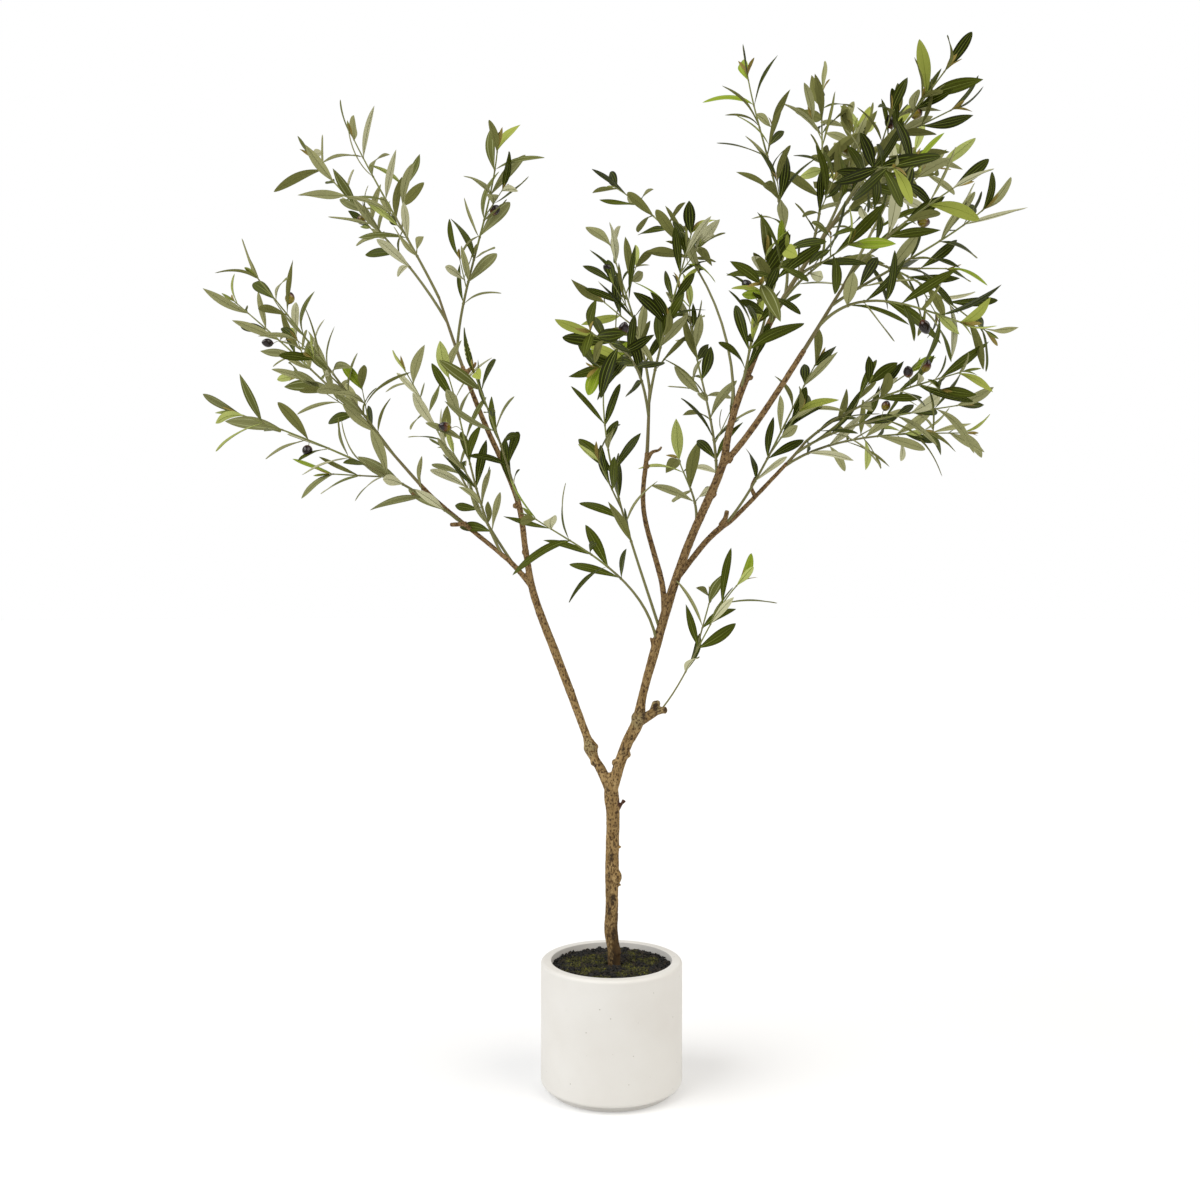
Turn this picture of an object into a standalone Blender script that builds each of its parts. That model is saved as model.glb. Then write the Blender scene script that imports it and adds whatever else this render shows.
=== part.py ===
"""An artificial olive tree in a plain white cylindrical pot.

The pot stands on its own flat foot at z = 0, with its axis on the Z axis. +X is the viewer's right and +Y
points away from the viewer. The pot is filled, and the trunk rises from the fill and forks into two
leaders, which carry four boughs and two pruned stubs. Every other branch is a mass of foliage: one wired
stem with side twigs, pairs of leaves and olives, all moulded together.
"""

import math
import random
from collections import namedtuple

import bpy
import bmesh
from mathutils import Matrix, Vector
from mathutils.bvhtree import BVHTree

MM = 0.001
CLEAR = 0.3 * MM
MERGE = 0.01 * MM
SHARP_ANGLE = math.radians(40)

POT_RADIUS = 143.5 * MM
POT_HEIGHT = 258.5 * MM
POT_WALL = 20.7 * MM
POT_FLOOR = 15 * MM
POT_RIM_ROUND = 7 * MM
POT_LIP_ROUND = 1.5 * MM
POT_BASE_ROUND = 8 * MM
FOOT_RADIUS = 126 * MM
FOOT_HEIGHT = 12.5 * MM
POT_STEPS = 40
ROUND_STEPS = 4
LIP_STEPS = 2

FILL_HEIGHT = 246 * MM
FILL_EDGE_DROP = 3 * MM
FILL_FLAT_RADIUS = 40 * MM

LIMB_SIDES = 8
LIMB_RING_GAP = 65 * MM
LIMB_SMOOTH_STEPS = 8
LIMB_LAST_SHARE = 0.996

# Each limb: the limb that carries it, how far along that one it starts, and the places that it passes.
# A place is its distance right, back and up from the middle of the pot's underside, and the limb's radius
# there, all in millimetres.
LIMBS = {
    "trunk": (None, 0, (
        (5, 0, 246.3, 16), (1, 0, 280, 13.5), (-2, 0, 320, 13.8), (0, 0, 380, 13.1), (1, 2, 425, 14.4),
        (1, 4, 470, 13.8), (3, 2, 550, 13.7), (0, 0, 592, 15.2), (0, 0, 634, 10))),
    "left_leader": ("trunk", 0.90, (
        (-20, 4, 642, 11.5), (-45, 10, 690, 13), (-58, 13, 727, 8.8), (-107, 25, 860, 8.7),
        (-158, 40, 993, 7.9), (-177, 52, 1085, 6.3), (-198, 65, 1205, 6), (-270, 85, 1370, 5.3),
        (-315, 95, 1485, 4.5), (-365, 105, 1630, 3.3))),
    "right_leader": ("trunk", 0.90, (
        (14, 0, 652, 13), (30, 0, 690, 12), (54, -8, 745, 13.5), (63, -11, 795, 8.6), (86, -18, 882, 9.5),
        (119, -25, 998, 9.2), (158, -35, 1110, 8.4), (218, -45, 1249, 8.2), (235, -48, 1330, 7),
        (265, -55, 1425, 7.4), (330, -65, 1570, 6.2), (455, -80, 1760, 4))),
    "centre_bough": ("right_leader", 0.30, (
        (101, -12, 1028, 5.8), (66, 20, 1175, 5), (75, 50, 1305, 4.8), (80, 65, 1430, 3.3))),
    "left_low_bough": ("left_leader", 0.41, (
        (-195, 52, 1053, 5.6), (-232, 60, 1087, 4.8), (-346, 110, 1178, 4.8), (-400, 130, 1227, 4.6),
        (-490, 160, 1326, 3.5))),
    "right_bough": ("right_leader", 0.555, (
        (272, -75, 1320, 6.2), (350, -130, 1439, 5.4), (440, -210, 1590, 3.2))),
    "low_right_bough": ("right_leader", 0.36, (
        (187, 0, 1102, 6), (225, 25, 1138, 6.2), (262, 55, 1166, 5), (380, 130, 1285, 4),
        (420, 150, 1330, 3.5))),
    "pruned_stub": ("right_leader", 0.13, (
        (84, -28, 766, 8.6), (112, -40, 777, 7.5))),
    "hooked_stub": ("left_low_bough", 0.62, (
        (-392, 116, 1204, 3.3), (-410, 108, 1205, 3.2), (-423, 104, 1217, 3))),
}

# Each mass of foliage: the limb that carries it, how far along that limb its stem starts, the end of its
# stem and how far the stem's middle bows, both as right, back and up in millimetres, the bare share of the
# stem before its first leaves, the number of side twigs, and its olives, each as a share along the stem and
# a turn round it in degrees.
Mass = namedtuple("Mass", "limb share tip bow bare twigs olives")
MASSES = {
    "left_high_outer": Mass("left_leader", 0.95, (-680, 300, 2000), (-10, 0, 10), 0.28, 1, ((0.62, 60),)),
    "left_high_middle": Mass("left_leader", 1, (-545, 90, 1965), (0, 0, -10), 0.25, 1, ()),
    "left_high_inner": Mass("left_leader", 0.89, (-220, -140, 1855), (15, 0, 0), 0.24, 0, ((0.66, 20),)),
    "left_outer_low": Mass("left_low_bough", 1, (-845, 260, 1660), (0, 0, 10), 0.1, 1, ((0.68, 190),)),
    "left_outer_high": Mass("left_low_bough", 0.93, (-705, -60, 1630), (0, 0, 10), 0.12, 1, ((0.8, 10),)),
    "left_lowest": Mass("left_low_bough", 0.42, (-685, -240, 1330), (0, 0, 20), 0.12, 1, ((0.72, 20),)),
    "left_inner_back": Mass("left_low_bough", 0.12, (-480, 380, 1525), (0, 0, 10), 0.18, 0, ()),
    "left_inner_front": Mass("left_low_bough", 0.2, (-335, 20, 1450), (0, 0, 10), 0.15, 1, ((0.7, 150),)),
    "left_leader_front": Mass("left_leader", 0.57, (-260, -180, 1415), (0, 0, 10), 0.12, 0, ()),
    "centre_left": Mass("right_leader", 0.275, (-15, -60, 1440), (-50, 0, -10), 0.35, 1, ()),
    "centre_low": Mass("right_leader", 0.255, (-145, -230, 1140), (0, 0, 25), 0.4, 0, ()),
    "centre_front": Mass("centre_bough", 0.88, (-40, -400, 1445), (0, 0, 25), 0.2, 1, ((0.6, 0),)),
    "centre_tall": Mass("centre_bough", 1, (0, 180, 1765), (0, 0, 0), 0.18, 1, ((0.75, 180),)),
    "centre_right": Mass("centre_bough", 0.94, (165, 20, 1745), (0, 0, 0), 0.2, 1, ((0.5, 90),)),
    "centre_arch": Mass("right_leader", 0.64, (10, 250, 1915), (20, 0, 80), 0.48, 1, ()),
    "leader_back": Mass("right_leader", 0.53, (170, 150, 1625), (-15, 0, 0), 0.1, 0, ()),
    "leader_low_back": Mass("right_leader", 0.45, (145, 120, 1290), (0, 0, 0), 0.25, 0, ()),
    "stub_spray": Mass("pruned_stub", 0.85, (245, -110, 1020), (10, 0, -10), 0.3, 1, ()),
    "right_inner": Mass("low_right_bough", 0.37, (420, 20, 1475), (0, 0, 0), 0.3, 1, ()),
    "right_low_top": Mass(
        "low_right_bough", 1, (675, -120, 1430), (0, 0, 15), 0.1, 1, ((0.7, 60), (0.76, 10))),
    "right_low_middle": Mass("low_right_bough", 0.92, (735, 90, 1400), (0, 0, 15), 0.1, 0, ((0.55, 0),)),
    "right_low_back": Mass("low_right_bough", 0.82, (820, 330, 1375), (0, 0, 20), 0.15, 1, ()),
    "right_arch": Mass("right_leader", 0.87, (740, -60, 1525), (0, 0, 60), 0.22, 0, ()),
    "right_arch_high": Mass("right_bough", 0.86, (685, -230, 1710), (0, 0, -20), 0.2, 1, ()),
    "right_tip": Mass("right_bough", 1, (600, -330, 1715), (0, 0, 10), 0.2, 1, ((0.6, 0),)),
    "right_back": Mass("right_bough", 0.95, (640, 80, 1935), (0, 0, 10), 0.3, 1, ((0.7, 200),)),
    "right_front": Mass("right_bough", 0.76, (580, -430, 1455), (0, 0, 30), 0.2, 0, ((0.7, 90),)),
    "top": Mass("right_leader", 1, (600, -280, 1945), (0, 0, 0), 0.05, 3, ((0.5, 90), (0.62, 30))),
    "top_front": Mass("right_leader", 0.985, (460, -470, 1700), (0, 0, 25), 0.3, 0, ((0.75, 90),)),
    "top_right": Mass("right_leader", 0.96, (700, 120, 1910), (0, 0, 10), 0.18, 0, ()),
    "top_column": Mass("right_leader", 0.9, (460, 160, 2090), (0, 0, 0), 0.15, 1, ()),
    "top_thin": Mass("right_leader", 0.84, (265, -100, 2010), (0, 0, 0), 0.3, 0, ()),
    "top_back": Mass("right_leader", 0.93, (580, 330, 2075), (0, 0, 0), 0.25, 1, ((0.6, 180), (0.5, 0))),
    "leader_front_low": Mass("right_leader", 0.73, (305, -330, 1605), (0, 0, 20), 0.3, 1, ()),
    "leader_front_high": Mass("right_leader", 0.81, (425, -280, 1630), (0, 0, 10), 0.3, 0, ()),
    "leader_side": Mass("right_leader", 0.67, (290, -180, 1640), (0, 0, 0), 0.15, 0, ((0.7, 90),)),
}

STEM_FOOT_RADIUS = 2.5 * MM
STEM_TIP_RADIUS = 1.2 * MM
STEM_BEND = 0.3
STEM_STEPS = 16
TWIG_SIDES = 3
TWIG_RING_GAP = 70 * MM
TWIG_FOOT_RADIUS = 1.8 * MM
TWIG_REACH = 120 * MM
TWIG_REACH_SPREAD = (0.8, 1.1)
TWIG_ANGLE = math.radians(34)
TWIG_ANGLE_SPREAD = (0.9, 1.2)
TWIG_RETURN = 0.2
TWIG_BARE = 0.45
TWIG_LAST_SHARE = 0.62
GOLDEN_TURN = math.radians(137.5)

PAIR_GAP = 64 * MM
PAIR_SHIFT = 0.12
PAIR_STAGGER = 1.5 * MM
PAIR_LAST_SHARE = 0.985
LEAF_LENGTH = 90 * MM
LEAF_LENGTH_SPREAD = (0.82, 1.14)
LEAF_WIDTH = 20 * MM
LEAF_WIDTH_SPREAD = (0.85, 1.1)
LEAF_THICKNESS = 1.4 * MM
LEAF_ANGLE = math.radians(35)
LEAF_ANGLE_SPREAD = (0.75, 1.3)
LEAF_TURN_SPREAD = (math.radians(-14), math.radians(14))
LEAF_CURL = 0.12
YOUNG_LENGTH = 0.8
YOUNG_ANGLE = 0.72
# Two places along a leaf, and half its width there, as shares of its length and its width.
LEAF_OUTLINE = ((0.3, 0.47), (0.68, 0.42))
# The turns about its own length that a leaf tries, one after the other, to find free space.
LEAF_TURNS = tuple(math.radians(turn) for turn in (0, 30, -30, 60, -60))

OLIVE_LENGTH = 26 * MM
OLIVE_WIDTH = 19.5 * MM
OLIVE_ANGLE = math.radians(65)
OLIVE_SIDES = 6
# Three places along an olive, and its width there, as shares of its length and its width.
OLIVE_OUTLINE = ((0.18, 0.74), (0.5, 1.0), (0.82, 0.74))
STALK_LENGTH = 24 * MM
STALK_RADIUS = 1.1 * MM

Twig = namedtuple("Twig", "points radii bare")
Leaf = namedtuple("Leaf", "root heading face length width")
Olive = namedtuple("Olive", "root heading")


def clear_scene():
    for old in list(bpy.data.objects):
        bpy.data.objects.remove(old, do_unlink=True)


def finish_of(name, colour, roughness):
    """A plain Principled finish, made once for each kind of piece."""
    if name in bpy.data.materials:
        return bpy.data.materials[name]
    finish = bpy.data.materials.new(name)
    finish.use_nodes = True
    shader = finish.node_tree.nodes["Principled BSDF"]
    shader.inputs["Base Color"].default_value = (*colour, 1)
    shader.inputs["Roughness"].default_value = roughness
    shader.inputs["Metallic"].default_value = 0
    return finish


def pot_finish():
    return finish_of("white_cast_stone", (0.82, 0.80, 0.76), 0.6)


def moss_finish():
    return finish_of("moss_and_crumbs", (0.05, 0.06, 0.02), 0.95)


def bark_finish():
    return finish_of("olive_bark", (0.28, 0.19, 0.10), 0.85)


def foliage_finish():
    return finish_of("olive_foliage", (0.10, 0.16, 0.06), 0.5)


def finished(name, mesh, finish):
    """A named object from a mesh, with its finish, shaded smooth up to its sharp edges."""
    made = bpy.data.objects.new(name, mesh)
    bpy.context.scene.collection.objects.link(made)
    mesh.materials.append(finish)
    mesh.shade_smooth()
    mesh.set_sharp_from_angle(angle=SHARP_ANGLE)
    return made


def arc(centre, radius, start, end, steps):
    """Points of a profile's round corner, as distances out from the axis and up."""
    turns = (math.radians(start + (end - start) * step / steps) for step in range(steps + 1))
    return [(centre[0] + radius * math.cos(turn), centre[1] + radius * math.sin(turn)) for turn in turns]


def turned(name, profile, finish):
    """A solid turned about Z from a profile that starts and ends on the axis."""
    work = bmesh.new()
    corners = [work.verts.new((out, 0, up)) for out, up in profile]
    edges = [work.edges.new(pair) for pair in zip(corners, corners[1:])]
    bmesh.ops.spin(
        work, geom=corners + edges, cent=(0, 0, 0), axis=(0, 0, 1), angle=2 * math.pi, steps=POT_STEPS,
        use_merge=True)
    bmesh.ops.remove_doubles(work, verts=work.verts[:], dist=MERGE)
    bmesh.ops.recalc_face_normals(work, faces=work.faces[:])
    mesh = bpy.data.meshes.new(name)
    work.to_mesh(mesh)
    work.free()
    return finished(name, mesh, finish)


def build_pot():
    """Underside, recessed foot, body, rim and inside of the pot, from the axis out and back to the axis."""
    inner = POT_RADIUS - POT_WALL
    foot = [(FOOT_RADIUS, 0), (FOOT_RADIUS, FOOT_HEIGHT)]
    base_centre = (POT_RADIUS - POT_BASE_ROUND, FOOT_HEIGHT + POT_BASE_ROUND)
    rim_centre = (POT_RADIUS - POT_RIM_ROUND, POT_HEIGHT - POT_RIM_ROUND)
    lip_centre = (inner + POT_LIP_ROUND, POT_HEIGHT - POT_LIP_ROUND)
    base = arc(base_centre, POT_BASE_ROUND, -90, 0, ROUND_STEPS)
    rim = arc(rim_centre, POT_RIM_ROUND, 0, 90, ROUND_STEPS)
    lip = arc(lip_centre, POT_LIP_ROUND, 90, 180, LIP_STEPS)
    turned("pot", [(0, 0), *foot, *base, *rim, *lip, (inner, POT_FLOOR), (0, POT_FLOOR)], pot_finish())


def build_fill():
    """The weighted plug and its moss top, which fill the pot to just under its rim."""
    radius = POT_RADIUS - POT_WALL - CLEAR
    edge = FILL_HEIGHT - FILL_EDGE_DROP
    profile = [
        (0, POT_FLOOR + CLEAR), (radius, POT_FLOOR + CLEAR), (radius, edge),
        (FILL_FLAT_RADIUS, FILL_HEIGHT), (0, FILL_HEIGHT)]
    turned("fill", profile, moss_finish())


def solid(name, shape, finish):
    """A named object from a shape, which is its corners and its faces."""
    mesh = bpy.data.meshes.new(name)
    mesh.from_pydata([tuple(corner) for corner in shape[0]], [], shape[1])
    return finished(name, mesh, finish)


def smooth(places, steps):
    """A smooth curve through places, each a Vector of any size, with steps samples between two of them."""
    ends = [2 * places[0] - places[1], *places, 2 * places[-1] - places[-2]]
    curve = []
    for before, start, end, after in zip(ends, ends[1:], ends[2:], ends[3:]):
        for step in range(steps):
            t = step / steps
            curve.append(
                0.5 * (2 * start + (end - before) * t + (2 * before - 5 * start + 4 * end - after) * t ** 2
                       + (3 * start - before - 3 * end + after) * t ** 3))
    return curve + [places[-1]]


def along(points, share):
    """The place and the heading at a share of the length of a line of points."""
    steps = [(b.xyz - a.xyz).length for a, b in zip(points, points[1:])]
    left = share * sum(steps)
    for (start, end), step in zip(zip(points, points[1:]), steps):
        if left <= step or end is points[-1]:
            return start.lerp(end, min(left / step, 1)), (end.xyz - start.xyz).normalized()
        left -= step


def evenly(points, gap):
    """The same line with its points about a gap apart."""
    length = sum((b.xyz - a.xyz).length for a, b in zip(points, points[1:]))
    count = max(2, round(length / gap))
    return [along(points, step / count)[0] for step in range(count + 1)]


def frames(points):
    """The heading and a steady side direction at each point, turned as little as the line allows."""
    headings = []
    for index in range(len(points)):
        before, after = points[max(index - 1, 0)], points[min(index + 1, len(points) - 1)]
        headings.append((after.xyz - before.xyz).normalized())
    side = headings[0].orthogonal()
    sides = []
    for heading in headings:
        side = (side - side.dot(heading) * heading).normalized()
        sides.append(side)
    return list(zip(headings, sides))


def tube(points, radii, sides, margin=0.0):
    """A closed tube along points, and a margin thicker and longer where one is asked for."""
    corners = []
    grown = margin / math.cos(math.pi / sides)
    for index, (point, (heading, side)) in enumerate(zip(points, frames(points))):
        across = heading.cross(side)
        centre = point.xyz
        if index == 0:
            centre = centre - margin * heading
        if index == len(points) - 1:
            centre = centre + margin * heading
        for step in range(sides):
            turn = 2 * math.pi * step / sides
            out = math.cos(turn) * side + math.sin(turn) * across
            corners.append(centre + (radii[index] + grown) * out)
    faces = [tuple(reversed(range(sides)))]
    for ring in range(len(points) - 1):
        for step in range(sides):
            after = (step + 1) % sides
            low, high = ring * sides, (ring + 1) * sides
            faces.append((low + step, low + after, high + after, high + step))
    faces.append(tuple(range(len(corners) - sides, len(corners))))
    return corners, faces


def limb_lines():
    """Each limb's own line of points with their radii, from inside its parent to its tip."""
    lines = {}
    for name, (parent, share, places) in LIMBS.items():
        way = [Vector(place) * MM for place in places]
        if parent:
            start = along(lines[parent], share)[0].copy()
            start[3] = way[0][3]
            way.insert(0, start)
        gap = LIMB_RING_GAP if parent else LIMB_RING_GAP / 2
        lines[name] = evenly(smooth(way, LIMB_SMOOTH_STEPS), gap)
    return lines


def limb_shape(line, margin=0.0):
    return tube(line, [point[3] for point in line], LIMB_SIDES, margin)


def apply_modifiers(made):
    """Keep what an object's modifiers make of it as its own mesh."""
    view = bpy.context.evaluated_depsgraph_get()
    mesh = bpy.data.meshes.new_from_object(made.evaluated_get(view))
    made.modifiers.clear()
    made.data = mesh


def boolean(made, operation, others, solver):
    """Join others to an object, or cut them out of it, and remove them."""
    group = bpy.data.collections.new("others")
    bpy.context.scene.collection.children.link(group)
    for other in others:
        bpy.context.scene.collection.objects.unlink(other)
        group.objects.link(other)
    change = made.modifiers.new(operation.lower(), "BOOLEAN")
    change.operation = operation
    change.operand_type = "COLLECTION"
    change.collection = group
    change.solver = solver
    apply_modifiers(made)
    for other in others:
        bpy.data.objects.remove(other, do_unlink=True)
    bpy.data.collections.remove(group)


def keep_outer_shell(made):
    """Drop the shells of sealed hollows and the loose scraps, which leaves the shell of most volume."""
    work = bmesh.new()
    work.from_mesh(made.data)
    left = set(work.faces)
    shells = []
    while left:
        shell = set()
        edge = [left.pop()]
        while edge:
            face = edge.pop()
            shell.add(face)
            for rim in face.edges:
                for near in rim.link_faces:
                    if near in left:
                        left.remove(near)
                        edge.append(near)
        shells.append(shell)
    shells.sort(key=shell_volume)
    for shell in shells[:-1]:
        bmesh.ops.delete(work, geom=list(shell), context="FACES")
    work.to_mesh(made.data)
    work.free()


def shell_volume(shell):
    total = 0.0
    for face in shell:
        first, *others = [corner.co for corner in face.verts]
        for second, third in zip(others, others[1:]):
            total += first.dot(second.cross(third)) / 6
    return total


def build_limbs(lines):
    """The trunk and every bough, each cut clear of the limbs that were made before it."""
    for name, line in lines.items():
        made = solid(name, limb_shape(line), bark_finish())
        parent = LIMBS[name][0]
        if not parent:
            for corner in made.data.vertices[:LIMB_SIDES]:
                corner.co.z = line[0].z
            continue
        carriers = [parent]
        if name == "right_leader":
            carriers.append("left_leader")
        cutters = [solid("cutter", limb_shape(lines[carrier], CLEAR), bark_finish()) for carrier in carriers]
        boolean(made, "DIFFERENCE", cutters, "EXACT")
        keep_outer_shell(made)


def stem_line(foot, leaving, tip, bow):
    """A stem that leaves along its limb, bows, and ends at its tip."""
    reach = tip - foot
    first = foot + STEM_BEND * reach.length * (leaving + reach.normalized()).normalized() + bow
    second = tip - STEM_BEND * reach + bow
    line = []
    for step in range(STEM_STEPS + 1):
        t = step / STEM_STEPS
        s = 1 - t
        line.append(s ** 3 * foot + 3 * s ** 2 * t * first + 3 * s * t ** 2 * second + t ** 3 * tip)
    return line


def twig_along(line, foot_radius, bare):
    points = evenly(line, TWIG_RING_GAP)
    last = len(points) - 1
    radii = [foot_radius + (STEM_TIP_RADIUS - foot_radius) * index / last for index in range(last + 1)]
    return Twig(points, radii, bare)


def turned_from(heading, side, turn, angle):
    """A direction that leaves a heading by an angle, on the side that a turn about it gives."""
    across = heading.cross(side)
    out = math.cos(turn) * side + math.sin(turn) * across
    return (math.cos(angle) * heading + math.sin(angle) * out).normalized()


def side_of(points, share):
    """The steady side direction at a share of a line."""
    sides = frames(points)
    return sides[min(int(share * len(sides)), len(sides) - 1)][1]


def side_twigs(stem, count, rule):
    """Side twigs that leave the stem in turn round it and bend back towards its heading."""
    twigs = []
    turn = rule.uniform(0, 2 * math.pi)
    for number in range(count):
        share = stem.bare + (TWIG_LAST_SHARE - stem.bare) * (number + 0.5) / count
        place, heading = along(stem.points, share)
        angle = TWIG_ANGLE * rule.uniform(*TWIG_ANGLE_SPREAD)
        leaving = turned_from(heading, side_of(stem.points, share), turn, angle)
        reach = TWIG_REACH * rule.uniform(*TWIG_REACH_SPREAD)
        tip = place + reach * leaving.lerp(heading, TWIG_RETURN).normalized()
        line = stem_line(place, leaving, tip, Vector((0, 0, 0)))
        twigs.append(twig_along(line, TWIG_FOOT_RADIUS, TWIG_BARE))
        turn += GOLDEN_TURN
    return twigs


def leaves_on(twig, rule):
    """Opposite leaves, each pair a quarter turn on from the last, from the bare foot to the tip."""
    leaves = []
    length = sum((b - a).length for a, b in zip(twig.points, twig.points[1:]))
    pairs = max(1, round((1 - twig.bare) * length / PAIR_GAP))
    turn = rule.uniform(0, math.pi)
    for pair in range(pairs + 1):
        step = pair + rule.uniform(-PAIR_SHIFT, PAIR_SHIFT)
        share = min(twig.bare + (1 - twig.bare) * step / pairs, PAIR_LAST_SHARE)
        place, heading = along(twig.points, share)
        side = side_of(twig.points, share)
        for half in (0, 1):
            about = turn + half * math.pi + rule.uniform(*LEAF_TURN_SPREAD)
            angle = LEAF_ANGLE * rule.uniform(*LEAF_ANGLE_SPREAD)
            leaf_length = LEAF_LENGTH * rule.uniform(*LEAF_LENGTH_SPREAD)
            leaf_width = LEAF_WIDTH * rule.uniform(*LEAF_WIDTH_SPREAD)
            if pair == pairs:
                angle *= YOUNG_ANGLE
                leaf_length *= YOUNG_LENGTH
            leaf_heading = turned_from(heading, side, about, angle)
            face = heading - heading.dot(leaf_heading) * leaf_heading
            root = place + (1 - 2 * half) * PAIR_STAGGER * heading
            leaves.append(Leaf(root, leaf_heading, face.normalized(), leaf_length, leaf_width))
        turn += math.pi / 2
    return leaves


def olives_on(stem, olives):
    """Olives on short stalks at the stated places on the stem."""
    found = []
    for share, turn in olives:
        place, heading = along(stem.points, share)
        leaving = turned_from(heading, side_of(stem.points, share), math.radians(turn), OLIVE_ANGLE)
        found.append(Olive(place, leaving))
    return found


def leaf_shape(leaf, turn=0.0, margin=0.0):
    """A lance-shaped leaf of ten faces, flat above, keeled below and curled back."""
    spin = Matrix.Rotation(turn, 3, leaf.heading)
    face = spin @ leaf.face
    across = face.cross(leaf.heading)
    corners = [leaf.root - margin * leaf.heading]
    for place, (share, spread) in enumerate(LEAF_OUTLINE):
        middle = leaf.root + share * leaf.length * leaf.heading - LEAF_CURL * share ** 2 * leaf.length * face
        half = spread * leaf.width + margin
        corners += [middle + half * across + margin * face, middle - half * across + margin * face]
        if place == 0:
            corners.append(middle - (LEAF_THICKNESS + margin) * face)
    corners.append(leaf.root + (leaf.length + margin) * leaf.heading - LEAF_CURL * leaf.length * face)
    upper = [(0, 2, 1), (1, 2, 5, 4), (4, 5, 6)]
    under = [(0, 3, 2), (2, 3, 5), (5, 3, 6), (0, 1, 3), (1, 4, 3), (4, 6, 3)]
    return corners, upper + under


def olive_shape(olive, margin=0.0):
    """The fruit itself, a turned egg of a few sides that starts where its stalk ends."""
    heading = olive.heading
    side = heading.orthogonal().normalized()
    across = heading.cross(side)
    start = olive.root + STALK_LENGTH * heading
    corners = [start - margin * heading]
    for share, spread in OLIVE_OUTLINE:
        for step in range(OLIVE_SIDES):
            turn = 2 * math.pi * step / OLIVE_SIDES
            out = math.cos(turn) * side + math.sin(turn) * across
            reach = spread * OLIVE_WIDTH / 2 + margin
            corners.append(start + share * OLIVE_LENGTH * heading + reach * out)
    corners.append(start + (OLIVE_LENGTH + margin) * heading)
    end = len(corners) - 1
    faces = []
    for step in range(OLIVE_SIDES):
        after = (step + 1) % OLIVE_SIDES
        faces.append((0, 1 + after, 1 + step))
        faces.append((end - OLIVE_SIDES + step, end - OLIVE_SIDES + after, end))
        for low in range(1, end - OLIVE_SIDES, OLIVE_SIDES):
            high = low + OLIVE_SIDES
            faces.append((low + step, low + after, high + after, high + step))
    return corners, faces


def stalk_shape(olive, margin=0.0):
    points = [olive.root, olive.root + (STALK_LENGTH + OLIVE_LENGTH / 4) * olive.heading]
    return tube(points, [STALK_RADIUS] * 2, TWIG_SIDES, margin)


def twig_shape(twig, margin=0.0):
    return tube(twig.points, twig.radii, TWIG_SIDES, margin)


def tree_of(shape):
    return BVHTree.FromPolygons([tuple(corner) for corner in shape[0]], shape[1])


def touches(shape, taken):
    """Whether a shape meets anything that is already in its place."""
    mine = tree_of(shape)
    return any(mine.overlap(other) for other in taken.values())


def stem_of(mass, lines):
    """The stem of a mass, which leaves its limb beside the limb's own heading."""
    foot, heading = along(lines[mass.limb], min(mass.share, LIMB_LAST_SHARE))
    tip = Vector(mass.tip) * MM
    line = stem_line(foot.xyz, heading, tip, Vector(mass.bow) * MM)
    return twig_along(line, STEM_FOOT_RADIUS, mass.bare)


def shapes_of_mass(mass, stem, seed, taken):
    """The stem, side twigs, leaves and olives of one mass that fit in the space left to it."""
    rule = random.Random(seed)
    twigs = [stem, *side_twigs(stem, mass.twigs, rule)]
    leaves = [leaves_on(twig, rule) for twig in twigs]
    shapes = [twig_shape(stem)]
    for twig, its_leaves in zip(twigs, leaves):
        if twig is not stem:
            if touches(twig_shape(twig, CLEAR), taken):
                continue
            shapes.append(twig_shape(twig))
        for leaf in its_leaves:
            for turn in LEAF_TURNS:
                if not touches(leaf_shape(leaf, turn, CLEAR), taken):
                    shapes.append(leaf_shape(leaf, turn))
                    break
    for olive in olives_on(stem, mass.olives):
        if not touches(olive_shape(olive, CLEAR), taken) and not touches(stalk_shape(olive, CLEAR), taken):
            shapes += [stalk_shape(olive), olive_shape(olive)]
    return shapes


def build_masses(lines):
    """Every mass of foliage, each in the space that the limbs and the other masses leave free."""
    stems = {name: stem_of(mass, lines) for name, mass in MASSES.items()}
    taken = {name: tree_of(limb_shape(line, CLEAR)) for name, line in lines.items()}
    taken |= {name: tree_of(twig_shape(stem, CLEAR)) for name, stem in stems.items()}
    for seed, (name, mass) in enumerate(MASSES.items(), start=1):
        others = {other: tree for other, tree in taken.items() if other != name}
        shapes = shapes_of_mass(mass, stems[name], seed, others)
        made, *pieces = [solid(name, shape, foliage_finish()) for shape in shapes]
        boolean(made, "UNION", pieces, "MANIFOLD")
        cutter = solid("cutter", limb_shape(lines[mass.limb], CLEAR), foliage_finish())
        boolean(made, "DIFFERENCE", [cutter], "MANIFOLD")
        keep_outer_shell(made)
        corners = [corner.co for corner in made.data.vertices]
        taken[name] = tree_of((corners, [face.vertices for face in made.data.polygons]))


def main():
    clear_scene()
    build_pot()
    build_fill()
    lines = limb_lines()
    build_limbs(lines)
    build_masses(lines)


main()
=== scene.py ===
import math
import random
from collections import namedtuple

import bmesh
import bpy
import numpy as np
from mathutils import Matrix, Vector, noise
from mathutils.kdtree import KDTree


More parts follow.
